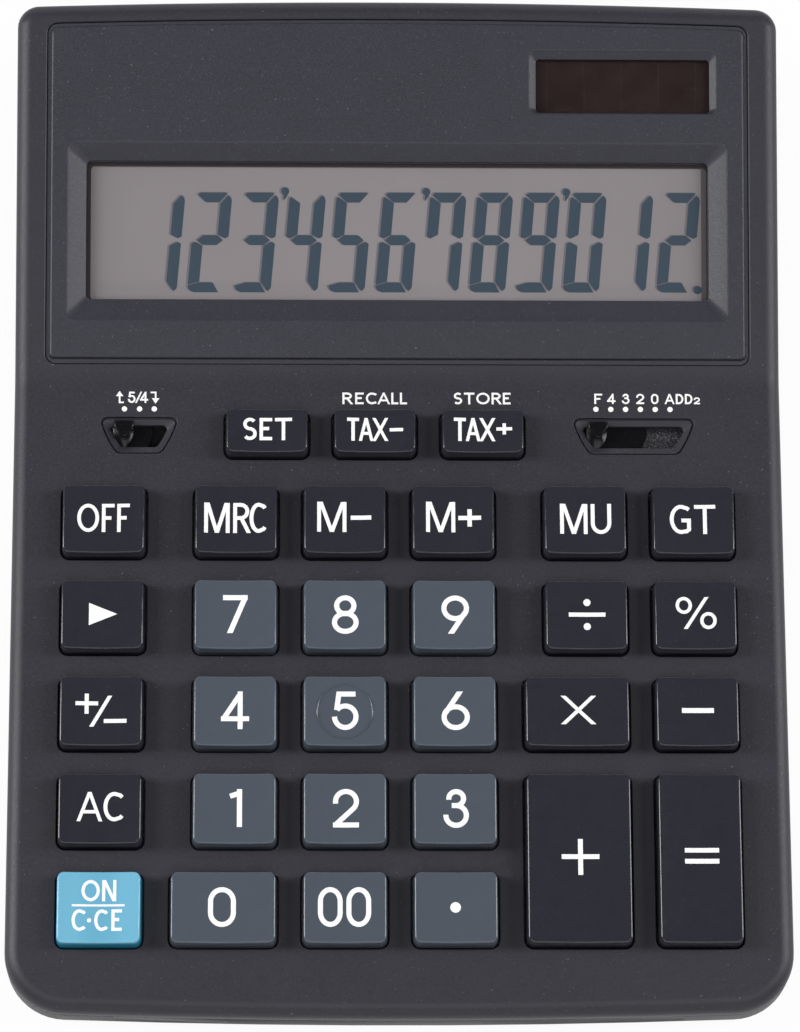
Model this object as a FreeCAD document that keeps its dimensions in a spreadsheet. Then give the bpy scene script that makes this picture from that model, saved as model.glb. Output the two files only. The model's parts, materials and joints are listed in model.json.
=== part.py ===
import FreeCAD, Part
import math
import os
import re
import Sketcher
from FreeCAD import Placement, Rotation, Vector

# Desktop calculator, 12 digits. X runs across, Y runs from the user to the display, Z runs up.
# The origin is the middle of the footprint on the table, lengths are in mm and angles in degrees.

drivingSizes = [
    # case
    ("caseWidth", 155, "outer width of the case"),
    ("caseDepth", 206, "outer depth along the middle"),
    ("frontHeight", 10.8, "height of the key deck at the front edge"),
    ("deckAngle", 3, "slope of the key deck"),
    ("displayAngle", 12.8, "slope of the display part"),
    ("creaseY", 26.5, "line where the deck turns into the display slope"),
    ("creaseRadius", 20, "soft radius along that line"),
    ("frontBow", 1.6, "how far the front edge bows out"),
    ("rearBow", 1.3, "how far the rear edge bows out"),
    ("frontCornerRadius", 12, "front corners seen from above"),
    ("rearCornerRadius", 4.5, "rear corners seen from above"),
    ("topEdgeRadius", 3, "rounding along the upper perimeter"),
    ("caseWall", 2.2, "side walls"),
    ("roofWall", 2.2, "deck and display slope"),
    ("floorWall", 2, "floor of the lower case"),
    ("partingHeight", 6.5, "height of the joint between the case halves"),
    ("bottomChamfer", 0.8, "chamfer round the underside"),
    ("tongueHeight", 1.5, "tongues of the lower case above the joint"),
    ("tongueThickness", 1.2, "wall of a tongue"),
    ("tongueGap", 0.25, "play between a tongue and the wall outside it"),
    ("sideTongueFront", -78, "front end of the front side tongues"),
    ("sideTongueMiddle", 16, "rear end of the front side tongues"),
    ("rearTongueFront", 32, "front end of the rear side tongues"),
    ("rearTongueRear", 84, "rear end of the rear side tongues"),
    ("crossTongueLength", 112, "tongues along the front and rear walls"),
    # feet and case screws
    ("footRise", 1.2, "how far the feet hold the case off the table"),
    ("footSeat", 0.8, "depth of the foot seats"),
    ("footLength", 14, "rubber foot across"),
    ("footWidth", 7, "rubber foot front to rear"),
    ("footGap", 0.1, "play round a foot in its seat"),
    ("footX", 62, "feet from the middle line"),
    ("footY", 84, "feet from the centre, front and rear"),
    ("screwInset", 5.4, "case screws from the side faces"),
    ("screwY", 91.5, "case screws, one near each rear corner"),
    ("bossWidth", 6, "square screw bosses of the upper case"),
    ("bossEmbed", 0.9, "how far a boss runs into the roof"),
    ("postWidth", 7, "square screw posts of the lower case"),
    ("postTop", 5.2, "height of the posts"),
    ("postGap", 0.1, "gap between post and boss"),
    ("screwShank", 2.6, "case screw"),
    ("screwPlay", 0.1, "hole minus shank, both kinds of screw"),
    ("screwLength", 5.5, "case screw under its head"),
    ("screwHead", 5, "head diameter"),
    ("screwHeadHeight", 1.4, "head height"),
    ("screwSink", 2.5, "depth of the screw wells"),
    ("wellDiameter", 5.6, "screw wells"),
    ("pilotSpare", 0.5, "pilot hole past the screw tip"),
    ("catchX", 40, "front catches from the middle line"),
    ("catchWidth", 16, "front catches"),
    ("catchReach", 1.2, "front catches past the front tongue"),
    ("catchHeight", 0.8, "front catches"),
    ("catchGap", 0.15, "play round a catch in its recess"),
    # key field
    ("keyWidth", 16.8, "key at deck level"),
    ("keyLength", 14.6, "key at deck level"),
    ("wideExtra", 4.2, "extra width of the wide keys"),
    ("smallKeyLength", 9.6, "keys of the top row"),
    ("keyCorner", 0.65, "cut corners of the keys"),
    ("keyGap", 0.35, "gap round a key in its opening"),
    ("columnPitch", 21.7, "pitch of the columns in a group"),
    ("groupPitch", 26.4, "pitch across the gap between two groups"),
    ("rowPitch", 19.6, "pitch of the rows"),
    ("topRowPitch", 18.4, "from the first full row to the small keys"),
    ("topRowX", -4.75, "middle key of the small row"),
    ("bottomRow", -82.3, "centre of the bottom row along the deck"),
    ("keyRise", 4.2, "height of a key's edge over the deck"),
    ("frontDraft", 5, "lean of the front face"),
    ("rearDraft", 4, "lean of the rear face"),
    ("sideDraft", 4.5, "lean of the side faces"),
    ("dishDepth", 0.7, "hollow across the key top"),
    ("keyShell", 1.2, "side walls of a key"),
    ("keyRoof", 1.4, "top of a key under the hollow"),
    ("stemWidth", 4, "square stem that presses the dome"),
    ("lipReach", 0.8, "retaining lips past the key sides"),
    ("lipThickness", 0.8, "retaining lips"),
    ("lipLength", 8, "retaining lips along the key"),
    ("lipClearance", 0.2, "lip under the deck at rest"),
    ("keyTravel", 1.5, "key travel"),
    ("pressClearance", 0.2, "lip over the keypad when pressed"),
    # keypad and board
    ("keypadThickness", 0.8, "rubber sheet"),
    ("keypadWidth", 133, "rubber sheet"),
    ("keypadFront", -91, "front edge along the deck"),
    ("keypadRear", 5, "rear edge along the deck"),
    ("keypadTongueRear", 21, "rear edge of the part under the small keys"),
    ("keypadTongueSide", 11, "that part past the centres of the outer small keys"),
    ("domeWidth", 6.6, "foot of a dome"),
    ("domeTaper", 25, "lean of the dome sides"),
    ("domeGap", 0.08, "dome top under the stem"),
    ("boardThickness", 1.2, "main board"),
    ("boardWidth", 135.6, "main board"),
    ("boardFront", -92.5, "front edge along the deck"),
    ("boardRear", 25, "rear edge along the deck"),
    ("boardPost", 4.2, "square posts that carry the board"),
    ("boardPostGap", 0.3, "play round a post in the rubber sheet"),
    ("stakeWidth", 2, "square stake of a post through the board"),
    ("stakeGap", 0.1, "play round a stake in the board"),
    ("stakeHead", 3.6, "flattened head of a stake"),
    ("stakeHeadHeight", 0.9, "flattened head of a stake"),
    ("processorWidth", 13, "resin cover of the processor"),
    ("processorCorner", 3.8, "cut corners of that cover"),
    ("processorHeight", 1.4, "resin cover of the processor"),
    ("processorAlong", 0, "resin cover along the deck"),
    # display panel and screen, measured up the display slope from the crease
    ("panelWidth", 142.7, "display panel"),
    ("panelFront", 3.9, "front edge"),
    ("panelRear", 73.6, "rear edge on the middle line"),
    ("panelBow", 1.1, "bow of the rear edge"),
    ("panelCorner", 2, "corner radius"),
    ("panelThickness", 1.3, "display panel"),
    ("panelGap", 0.2, "play round the panel in its recess"),
    ("panelChamfer", 0.35, "chamfers of the groove round the panel"),
    ("screenAlong", 30.05, "centre of the screen bevel"),
    ("screenWidth", 134, "screen bevel at the surface"),
    ("screenHeight", 36.3, "screen bevel at the surface"),
    ("openingAlong", 30.45, "centre of the screen opening"),
    ("openingWidth", 126.7, "screen opening at the foot of the bevel"),
    ("openingHeight", 28.3, "screen opening at the foot of the bevel"),
    ("bevelDepth", 2, "depth of the screen bevel"),
    ("surroundDepth", 2.8, "depth of the screen surround"),
    ("surroundWall", 1.2, "wall of the screen surround"),
    ("surroundGap", 0.3, "play round the surround in the case"),
    ("windowMargin", 2, "screen window past its opening"),
    ("windowThickness", 1, "clear windows"),
    ("frameWall", 1.5, "screen frame"),
    ("frameLip", 0.5, "lip of the frame over the glass"),
    ("frameLipMargin", 0.5, "lip opening past the screen opening"),
    ("glassWidth", 131, "liquid crystal glass"),
    ("glassHeight", 33.6, "liquid crystal glass"),
    ("glassThickness", 2.2, "liquid crystal glass"),
    ("glassGap", 0.2, "play round the glass in the frame"),
    ("backingThickness", 1, "backing behind the glass"),
    # solar cell
    ("solarX", 45.8, "centre of the solar recess"),
    ("solarAlong", 60.65, "centre of the solar recess"),
    ("solarWidth", 38, "recess at the surface"),
    ("solarHeight", 13.4, "recess at the surface"),
    ("solarOpeningWidth", 35.4, "opening at the foot of the bevel"),
    ("solarOpeningHeight", 11, "opening at the foot of the bevel"),
    ("solarOpeningShift", -0.45, "opening from the centre of the recess"),
    ("solarBevelDepth", 0.9, "depth of the bevel"),
    ("solarMargin", 1, "window past its opening"),
    ("solarWindowGap", 0.2, "play round the window in the case"),
    ("solarCellInset", 0.3, "cell inside the window's outline"),
    ("solarCellThickness", 1.2, "solar cell"),
    # slide switches, measured along the deck
    ("placePitch", 3, "pitch of the switch places"),
    ("roundingX", -52.25, "centre of the rounding switch"),
    ("roundingPlaces", 3, "places of the rounding switch"),
    ("roundingAhead", 5.5, "slide plate ahead of the knob"),
    ("decimalX", 47.6, "centre of the decimal switch"),
    ("decimalPlaces", 6, "places of the decimal switch"),
    ("decimalAhead", 9.9, "slide plate ahead of the knob"),
    ("plateBehind", 4, "slide plate behind the knob"),
    ("recessFront", 10.7, "front edge of the switch recess"),
    ("recessRear", 18.05, "rear edge of the switch recess"),
    ("recessFrontReach", 1.5, "recess past the end places at its front"),
    ("recessRearReach", 4.6, "recess past the end places at its rear"),
    ("recessBulge", 14, "radius of the curved recess ends"),
    ("recessDepth", 0.9, "depth of the recess bevel"),
    ("slotFront", 12.3, "front edge of the slot"),
    ("slotRear", 16.75, "rear edge of the slot"),
    ("slotFrontReach", 0.6, "slot past the end places at its front"),
    ("slotRearReach", 2.6, "slot past the end places at its rear"),
    ("knobRise", 0.7, "knob over the deck"),
    ("knobHalfWidth", 2.05, "knob head"),
    ("knobRear", 17, "rear face of the knob head"),
    ("knobShoulder", 15.6, "where the head starts to narrow"),
    ("knobTip", 13.9, "front tip of the head"),
    ("knobTipHalf", 0.3, "flat at the tip"),
    ("neckHalfWidth", 1.7, "knob where it leaves the slide plate"),
    ("neckRear", 16.1, "rear face of the neck"),
    ("neckShoulder", 15.2, "where the neck starts to narrow"),
    ("neckTip", 13.6, "front tip of the neck"),
    ("slidePlateWidth", 6.4, "slide plate along the deck"),
    ("slidePlateThickness", 1, "slide plate"),
    ("slideClearance", 0.25, "slide plate under the deck and in its rails"),
    ("railWall", 1.2, "rails and ends of a switch base"),
    ("baseFloor", 0.9, "floor of a switch base"),
    ("wiperLength", 6, "sliding contact"),
    ("wiperWidth", 3, "sliding contact"),
    ("wiperThickness", 0.25, "sliding contact"),
    ("wiperGap", 0.15, "contact over the floor of the base"),
    # battery
    ("doorX", 38, "centre of the battery door"),
    ("doorY", 60, "centre of the battery door"),
    ("doorLength", 28, "door across"),
    ("doorWidth", 18, "door front to rear"),
    ("doorThickness", 1.4, "door plate"),
    ("doorRecess", 1.6, "depth of the door recess"),
    ("doorGap", 0.2, "play round the door"),
    ("doorPad", 1.2, "pad of the door under the cell"),
    ("doorPadWidth", 7, "square pad of the door under the cell"),
    ("blockMargin", 2.3, "battery block past the door"),
    ("blockTop", 9, "height of the battery block"),
    ("cellShift", -5, "cell from the centre of the door"),
    ("cellDiameter", 11.6, "button cell"),
    ("cellHeight", 3.1, "button cell"),
    ("cellPlay", 0.7, "cup diameter minus cell diameter"),
    ("doorScrewShift", 10.5, "door screw from the centre of the door"),
    ("doorScrewHead", 3.6, "door screw"),
    ("doorScrewHeadHeight", 0.9, "door screw"),
    ("doorScrewShank", 1.8, "door screw"),
    ("doorScrewLength", 4.6, "door screw under its head"),
    ("contactThickness", 0.3, "cell contacts"),
    ("contactWidth", 2.4, "cell contacts"),
    ("contactShift", 2.3, "tabs of the contacts from the cell centre"),
    ("contactPlate", 7, "plate of the negative contact"),
    ("contactPlay", 0.3, "slots round the contacts"),
    ("tabRise", 0.4, "tabs over the battery block"),
    # leads
    ("leadThickness", 0.4, "flat leads"),
    ("leadWidth", 1.2, "one conductor"),
    ("boardLeadAlong", 23, "where the leads reach the board, along the deck"),
    ("solarLeadX", 60, "solar leads"),
    ("solarLeadHeight", 9.7, "solar leads over the table"),
    ("solarLeadAlong", 60, "where they leave the cell"),
    ("ribbonWidth", 90, "screen ribbon"),
    ("ribbonThickness", 0.3, "screen ribbon"),
    ("ribbonReach", 8, "ribbon under the screen frame"),
    ("ribbonOnBoard", 3, "ribbon on the board"),
]

doc = FreeCAD.newDocument("DesktopCalculator")
sheet = doc.addObject("Spreadsheet::Sheet", "Sizes")
for row, (alias, value, note) in enumerate(drivingSizes, start=1):
    sheet.set("A%d" % row, alias)
    sheet.set("B%d" % row, str(value))
    sheet.set("C%d" % row, note)
    sheet.setAlias("B%d" % row, alias)
doc.recompute()

aliases = {alias for alias, value, note in drivingSizes}
pieces = []
cuts = []


def bound(text):
    # writes a formula of plain size names as an expression on the sheet
    def located(word):
        return ("Sizes." if word.group() in aliases else "") + word.group()
    return re.sub(r"[A-Za-z]+", located, text)


def number(text):
    return float(sheet.evalExpression(bound(text)))


def bind(target, path, text):
    target.setExpression(path, bound(text))


# heights of the two top planes: the deck at Y = 0 and the crease
deckLevel = "(frontHeight + caseDepth / 2 * tan(deckAngle))"
creaseLevel = "(frontHeight + (caseDepth / 2 + creaseY) * tan(deckAngle))"


def onDeck(along, up="0"):
    # Y and Z of a point given along the deck and over it
    y = "((%s) * cos(deckAngle) - (%s) * sin(deckAngle))" % (along, up)
    z = "(%s + (%s) * sin(deckAngle) + (%s) * cos(deckAngle))" % (deckLevel, along, up)
    return y, z


def onDisplay(along, up="0"):
    # Y and Z of a point given up the display slope and over it
    y = "(creaseY + (%s) * cos(displayAngle) - (%s) * sin(displayAngle))" % (along, up)
    z = "(%s + (%s) * sin(displayAngle) + (%s) * cos(displayAngle))" % (creaseLevel, along, up)
    return y, z


def newBody(name, x="0", place=None, tilt="0", kept=True):
    body = doc.addObject("PartDesign::Body", name)
    body.Label = name
    body.AllowCompound = True
    body.Placement = Placement(Vector(0, 0, 0), Rotation(Vector(1, 0, 0), number(tilt)))
    if place:
        bind(body, "Placement.Base.x", x)
        bind(body, "Placement.Base.y", place[0])
        bind(body, "Placement.Base.z", place[1])
        bind(body, "Placement.Rotation.Angle", tilt)
    if kept:
        pieces.append(body)
    return body


def deckBody(name, x="0", along="0"):
    return newBody(name, x, onDeck(along), "deckAngle")


def displayBody(name, x="0", along="0"):
    return newBody(name, x, onDisplay(along), "displayAngle")


def originPlane(body, role):
    return [feature for feature in body.Origin.OriginFeatures if feature.Role == role][0]


def sketchOn(body, name, up="0", role="XY_Plane", y="0", tilt="0"):
    # a sketch on an origin plane of its body, moved along the plane's normal and tilted about X
    sketch = body.newObject("Sketcher::SketchObject", name)
    sketch.AttachmentSupport = [(originPlane(body, role), "")]
    sketch.MapMode = "FlatFace"
    offset = Vector(0, number(y), number(up))
    sketch.AttachmentOffset = Placement(offset, Rotation(Vector(1, 0, 0), number(tilt)))
    bind(sketch, "AttachmentOffset.Base.z", up)
    if y != "0":
        bind(sketch, "AttachmentOffset.Base.y", y)
    if tilt != "0":
        bind(sketch, "AttachmentOffset.Rotation.Angle", tilt)
    return sketch


def constrain(sketch, joints, sizes):
    # geometric constraints, then named sizes: (name, what they measure, formula)
    rules = list(joints)
    for name, measured, text in sizes:
        rule = Sketcher.Constraint(*measured, number(text))
        rule.Name = name
        rules.append(rule)
    sketch.addConstraint(rules)
    for name, measured, text in sizes:
        bind(sketch, "Constraints." + name, text)


def outline(sketch, corners):
    # closed outline through corners (x, y); a third value makes the next side an arc of that radius,
    # bulging to the right of the way round
    first = sketch.GeometryCount
    places = [Vector(number(corner[0]), number(corner[1]), 0) for corner in corners]
    sides = []
    ends = []
    for index, corner in enumerate(corners):
        start = places[index]
        finish = places[(index + 1) % len(corners)]
        if len(corner) == 2:
            sides.append(Part.LineSegment(start, finish))
        else:
            radius = number(corner[2])
            half = (finish - start) * 0.5
            inward = Vector(-half.y, half.x, 0).normalize() * (radius ** 2 - half.Length ** 2) ** 0.5
            centre = start + half + inward
            angles = [Vector(1, 0, 0).getAngle(end - centre) * (1 if end.y >= centre.y else -1)
                      for end in (start, finish)]
            sides.append(Part.ArcOfCircle(Part.Circle(centre, Vector(0, 0, 1), radius), *angles))
        ends.append(first + index)
    sketch.addGeometry(sides, False)
    joints = [Sketcher.Constraint("Coincident", side, 2, ends[(index + 1) % len(ends)], 1)
              for index, side in enumerate(ends)]
    sizes = []
    for side, corner in zip(ends, corners):
        sizes.append(("x%d" % side, ("DistanceX", side, 1), corner[0]))
        sizes.append(("y%d" % side, ("DistanceY", side, 1), corner[1]))
        if len(corner) > 2:
            sizes.append(("r%d" % side, ("Radius", side), corner[2]))
    constrain(sketch, joints, sizes)


def rectangle(sketch, width, height, x="0", y="0", cut=None):
    # a rectangle about (x, y); cut takes its corners off at 45 degrees
    right = "(%s) / 2" % width
    rear = "(%s) / 2" % height
    spans = [(right, rear)]
    if cut:
        spans = [(right, "(%s - %s)" % (rear, cut)), ("(%s - %s)" % (right, cut), rear)]
    corners = []
    for signX, signY, turned in (("+", "-", 1), ("+", "+", 0), ("-", "+", 1), ("-", "-", 0)):
        for spanX, spanY in spans[::-1] if turned else spans:
            corners.append(("(%s) %s %s" % (x, signX, spanX), "(%s) %s %s" % (y, signY, spanY)))
    outline(sketch, corners)


def circle(sketch, diameter, x="0", y="0"):
    centre = Vector(number(x), number(y), 0)
    index = sketch.addGeometry(Part.Circle(centre, Vector(0, 0, 1), number(diameter) / 2), False)
    constrain(sketch, [], [
        ("x%d" % index, ("DistanceX", index, 3), x), ("y%d" % index, ("DistanceY", index, 3), y),
        ("d%d" % index, ("Diameter", index), diameter)])


def pad(body, sketch, length, down=False, both=False, taper=None):
    feature = body.newObject("PartDesign::Pad", sketch.Name + "Pad")
    feature.Profile = sketch
    feature.Reversed = down
    feature.Midplane = both
    bind(feature, "Length", length)
    if taper:
        bind(feature, "TaperAngle", taper)
    feature.Refine = False
    return feature


def pocket(body, sketch, depth, up=False, both=False):
    feature = body.newObject("PartDesign::Pocket", sketch.Name + "Pocket")
    feature.Profile = sketch
    feature.Reversed = up
    feature.Midplane = both
    bind(feature, "Length", depth)
    feature.Refine = False
    cuts.append(feature)
    return feature


def loft(body, lower, upper, cut=False):
    kind = "PartDesign::SubtractiveLoft" if cut else "PartDesign::AdditiveLoft"
    feature = body.newObject(kind, lower.Name + "Loft")
    feature.Profile = lower
    feature.Sections = [upper]
    feature.Ruled = True
    feature.Refine = False
    if cut:
        cuts.append(feature)
    return feature


def takeAway(body, cutter):
    # cuts one body out of another
    feature = body.newObject("PartDesign::Boolean", cutter.Name + "_cut")
    feature.Type = "Cut"
    feature.setObjects([cutter])
    feature.Refine = False
    cuts.append(feature)
    return feature


def dress(body, kind, base, chosen, value, setting):
    # a fillet or chamfer on the edges of base that the test picks
    doc.recompute()
    names = ["Edge%d" % (index + 1) for index, edge in enumerate(base.Shape.Edges) if chosen(edge)]
    feature = body.newObject("PartDesign::" + kind, base.Name + kind)
    feature.Base = (base, names)
    bind(feature, setting, value)
    return feature


def lean(body, base, chosen, angle):
    # leans the upright faces of base that the test picks, hinged where they meet the body's XY plane
    doc.recompute()
    names = ["Face%d" % (index + 1) for index, face in enumerate(base.Shape.Faces)
             if chosen(face.normalAt(0, 0))]
    feature = body.newObject("PartDesign::Draft", base.Name + "Draft")
    feature.Base = (base, names)
    feature.NeutralPlane = (originPlane(body, "XY_Plane"), [""])
    bind(feature, "Angle", angle)
    return feature


# Case

def planOutline(sketch, inset):
    # the case seen from above, its front and rear edges bowed
    half = "(caseWidth / 2 - %s)" % inset
    front = "(-caseDepth / 2 + frontBow + %s)" % inset
    rear = "(caseDepth / 2 - rearBow - %s)" % inset
    frontRadius = "(%s * %s + frontBow * frontBow) / (2 * frontBow)" % (half, half)
    rearRadius = "(%s * %s + rearBow * rearBow) / (2 * rearBow)" % (half, half)
    outline(sketch, [
        ("-" + half, front, frontRadius), (half, front), (half, rear, rearRadius), ("-" + half, rear)])


def roundPlanCorners(body, base, inset):
    # the four upright edges at the corners, larger at the front
    sideFace = number("caseWidth / 2 - " + inset)

    def atCorner(edge):
        ends = [vertex.Point for vertex in edge.Vertexes]
        upright = len(ends) == 2 and (ends[0] - ends[1]).cross(Vector(0, 0, 1)).Length < 1e-6
        return upright and abs(abs(ends[0].x) - sideFace) < 1e-3
    front = dress(body, "Fillet", base, lambda edge: atCorner(edge) and edge.CenterOfMass.y < -sideFace,
                  "frontCornerRadius - " + inset, "Radius")
    return dress(body, "Fillet", front, lambda edge: atCorner(edge) and edge.CenterOfMass.y > sideFace,
                 "rearCornerRadius - " + inset, "Radius")


def cutSlopes(body, name, sink):
    # takes away what lies over the deck and the display slope, sunk by the given thickness
    sketch = sketchOn(body, name, role="YZ_Plane")
    reach = "creaseRadius * tan((displayAngle - deckAngle) / 2)"
    past = "10"
    deckHeight = "(frontHeight - (%s) / cos(deckAngle))" % sink
    front = ("-caseDepth / 2 - " + past, "%s - %s * tan(deckAngle)" % (deckHeight, past))
    foot = ("creaseY - %s * cos(deckAngle) + (%s) * sin(deckAngle)" % (reach, sink),
            "%s - %s * sin(deckAngle) - (%s) * cos(deckAngle)" % (creaseLevel, reach, sink),
            "creaseRadius + " + sink)
    start = ("creaseY + %s * cos(displayAngle) + (%s) * sin(displayAngle)" % (reach, sink),
             "%s + %s * sin(displayAngle) - (%s) * cos(displayAngle)" % (creaseLevel, reach, sink))
    rearHeight = "%s + (caseDepth / 2 + %s - creaseY) * tan(displayAngle) - (%s) / cos(displayAngle)" % (
        creaseLevel, past, sink)
    rear = ("caseDepth / 2 + " + past, rearHeight)
    clear = "2 * caseDepth"
    outline(sketch, [
        front, foot, start, rear, ("caseDepth / 2 + " + past, clear), ("-caseDepth / 2 - " + past, clear)])
    return pocket(body, sketch, "caseWidth + 20", both=True)


def blank(body, name, inset, sink, bottom):
    sketch = sketchOn(body, name + "Plan", bottom)
    planOutline(sketch, inset)
    block = pad(body, sketch, "%s + (caseDepth / 2 - creaseY) * tan(displayAngle) + topEdgeRadius - (%s)" % (
        creaseLevel, bottom))
    roundPlanCorners(body, block, inset)
    return cutSlopes(body, name + "Slopes", sink)


upperCase = newBody("upper_case")
outside = blank(upperCase, "Outer", "0", "0", "partingHeight")


def steepness(shape, edge, face):
    point = edge.valueAt((edge.FirstParameter + edge.LastParameter) / 2)
    return abs(face.normalAt(*face.Surface.parameter(point)).z)


def between(shape, edge, lower, upper):
    # true for an edge whose two faces have upward parts of their normals inside the two ranges
    faces = shape.ancestorsOfType(edge, Part.Face)
    tilts = sorted(steepness(shape, edge, face) for face in faces)
    return len(tilts) == 2 and lower[0] <= tilts[0] < lower[1] and upper[0] < tilts[1] < upper[1]


# The perimeter of the top is rounded by three flats that touch one radius.
upright = (0, 0.05)
slanting = (0.5, 0.9)
topmost = (0.95, 0.99999)


def firstEdge(edge):
    return between(outside.Shape, edge, upright, topmost)


def flatEdge(edge):
    return between(flat.Shape, edge, upright, slanting) or between(flat.Shape, edge, slanting, topmost)


flat = dress(upperCase, "Chamfer", outside, firstEdge, "topEdgeRadius * (2 - sqrt(2))", "Size")
dress(upperCase, "Chamfer", flat, flatEdge, "topEdgeRadius * (tan(22.5) - tan(11.25))", "Size")

upperCore = newBody("upper_core", kept=False)
blank(upperCore, "Core", "caseWall", "roofWall", "partingHeight - 1")
takeAway(upperCase, upperCore)

screwX = "(caseWidth / 2 - screwInset)"
screwPlaces = [(side + screwX, "screwY") for side in ("-", "")]
screwSeat = "(footRise + screwSink)"
bossFoot = "(postTop + postGap)"
roofOverScrew = "(%s + (screwY - creaseY) * tan(displayAngle) - roofWall / cos(displayAngle))" % creaseLevel
bosses = sketchOn(upperCase, "Bosses", bossFoot)
pilots = sketchOn(upperCase, "Pilots", bossFoot)
for x, y in screwPlaces:
    rectangle(bosses, "bossWidth", "bossWidth", x, y)
    circle(pilots, "screwShank + screwPlay", x, y)
pad(upperCase, bosses, "%s + bossEmbed - %s" % (roofOverScrew, bossFoot))
pocket(upperCase, pilots, "%s + screwLength + pilotSpare - %s" % (screwSeat, bossFoot), up=True)

crossFace = "(caseDepth / 2 - caseWall - tongueGap - frontBow / 2)"
catchBottom = "(partingHeight + (tongueHeight - catchHeight) / 2)"


def frontCatches(sketch, grow):
    # one box on each side of the middle, reaching into the front wall
    for side in ("-", ""):
        rectangle(sketch, "catchWidth + 2 * " + grow, "catchReach + tongueThickness / 2 + " + grow,
                  side + "catchX", "-%s - (catchReach - tongueThickness / 2 + %s) / 2" % (crossFace, grow))


catches = sketchOn(upperCase, "CatchRecesses", catchBottom + " - catchGap")
frontCatches(catches, "catchGap")
pocket(upperCase, catches, "catchHeight + 2 * catchGap", up=True)


def onCaseDeck(name, up="0"):
    y, z = onDeck("0", up)
    return sketchOn(upperCase, name, z, y=y, tilt="deckAngle")


def onCaseDisplay(name, up="0"):
    y, z = onDisplay("0", up)
    return sketchOn(upperCase, name, z, y=y, tilt="displayAngle")


# Key layout: (node, column, row, extra width to the left, extra rows, length)
columns = {
    "A": "(-1.5 * columnPitch - groupPitch)", "B": "(-1.5 * columnPitch)", "C": "(-0.5 * columnPitch)",
    "D": "(0.5 * columnPitch)", "E": "(0.5 * columnPitch + groupPitch)",
    "F": "(1.5 * columnPitch + groupPitch)",
    "G": "(topRowX - columnPitch)", "H": "topRowX", "I": "(topRowX + columnPitch)"}
rows = ["(bottomRow + %d * rowPitch)" % step for step in range(5)]
rows.append("(bottomRow + 4 * rowPitch + topRowPitch)")
keyTable = [
    ("key_set", "G", 5), ("key_tax_minus", "H", 5), ("key_tax_plus", "I", 5),
    ("key_off", "A", 4), ("key_mrc", "B", 4), ("key_m_minus", "C", 4), ("key_m_plus", "D", 4),
    ("key_mu", "E", 4), ("key_gt", "F", 4),
    ("key_shift", "A", 3), ("key_7", "B", 3), ("key_8", "C", 3), ("key_9", "D", 3),
    ("key_divide", "E", 3), ("key_percent", "F", 3),
    ("key_sign", "A", 2), ("key_4", "B", 2), ("key_5", "C", 2), ("key_6", "D", 2),
    ("key_multiply", "E", 2), ("key_minus", "F", 2),
    ("key_ac", "A", 1), ("key_1", "B", 1), ("key_2", "C", 1), ("key_3", "D", 1),
    ("key_on_clear", "A", 0), ("key_0", "B", 0), ("key_00", "C", 0), ("key_point", "D", 0),
    ("key_plus", "E", 0), ("key_equals", "F", 0)]
wideKeys = {"key_0", "key_multiply", "key_plus"}
outwardSide = {"key_0": "-", "key_multiply": "-", "key_plus": "-"}
tallKeys = {"key_plus", "key_equals"}


def keyCell(name, column, row):
    # centre across and along the deck, width and length at deck level
    width = "keyWidth"
    x = columns[column]
    if name in wideKeys:
        width = "(keyWidth + wideExtra)"
        x = "(%s %s wideExtra / 2)" % (x, outwardSide[name])
    length = "smallKeyLength" if row == 5 else "keyLength"
    along = rows[row]
    if name in tallKeys:
        length = "(keyLength + rowPitch)"
        along = "(%s + rowPitch / 2)" % along
    return x, along, width, length


deckOpenings = newBody("deck_openings", place=onDeck("0"), tilt="deckAngle", kept=False)
above = "topEdgeRadius"
for name, column, row in keyTable:
    x, along, width, length = keyCell(name, column, row)
    sketch = sketchOn(deckOpenings, "Opening_" + name, above)
    rectangle(sketch, width + " + 2 * keyGap", length + " + 2 * keyGap", x, along, "keyCorner")
    pad(deckOpenings, sketch, "2 * roofWall + " + above, down=True)

# Board posts stand between two columns of keys, clear of the lips in the middle of each key's side
postSteps = {"AB": (0.5, 1.5, 3.5), "EF": (0, 1.5, 3.5)}
boardPosts = [("(%s + %s) / 2" % (columns[left], columns[right]), "bottomRow + %s * rowPitch" % step)
              for (left, right), steps in postSteps.items() for step in steps]
keypadTop = "(roofWall + lipClearance + lipThickness + keyTravel + pressClearance)"
boardTop = "(%s + keypadThickness)" % keypadTop
boardUnder = "(%s + boardThickness)" % boardTop
posts = onCaseDeck("BoardPosts", "-" + boardTop)
stakes = onCaseDeck("BoardStakes", "-" + boardUnder)
heads = onCaseDeck("StakeHeads", "-" + boardUnder)
for x, along in boardPosts:
    rectangle(posts, "boardPost", "boardPost", x, along)
    rectangle(stakes, "stakeWidth", "stakeWidth", x, along)
    rectangle(heads, "stakeHead", "stakeHead", x, along)
pad(upperCase, posts, boardTop + " - roofWall / 2")
pad(upperCase, stakes, "boardThickness + roofWall / 2")
pad(upperCase, heads, "stakeHeadHeight", down=True)


# Slide switches

switches = {
    "rounding": ("roundingX", "((roundingPlaces - 1) * placePitch)", "roundingAhead"),
    "decimal": ("decimalX", "((decimalPlaces - 1) * placePitch)", "decimalAhead")}


def switchOpening(sketch, middle, travel, front, rear, frontReach, rearReach):
    # a flat trapezoid, wider at the rear, with bulging ends
    near = "(%s / 2 + %s)" % (travel, frontReach)
    far = "(%s / 2 + %s)" % (travel, rearReach)
    outline(sketch, [
        ("%s - %s" % (middle, near), front), ("%s + %s" % (middle, near), front, "recessBulge"),
        ("%s + %s" % (middle, far), rear), ("%s - %s" % (middle, far), rear, "recessBulge")])


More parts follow.
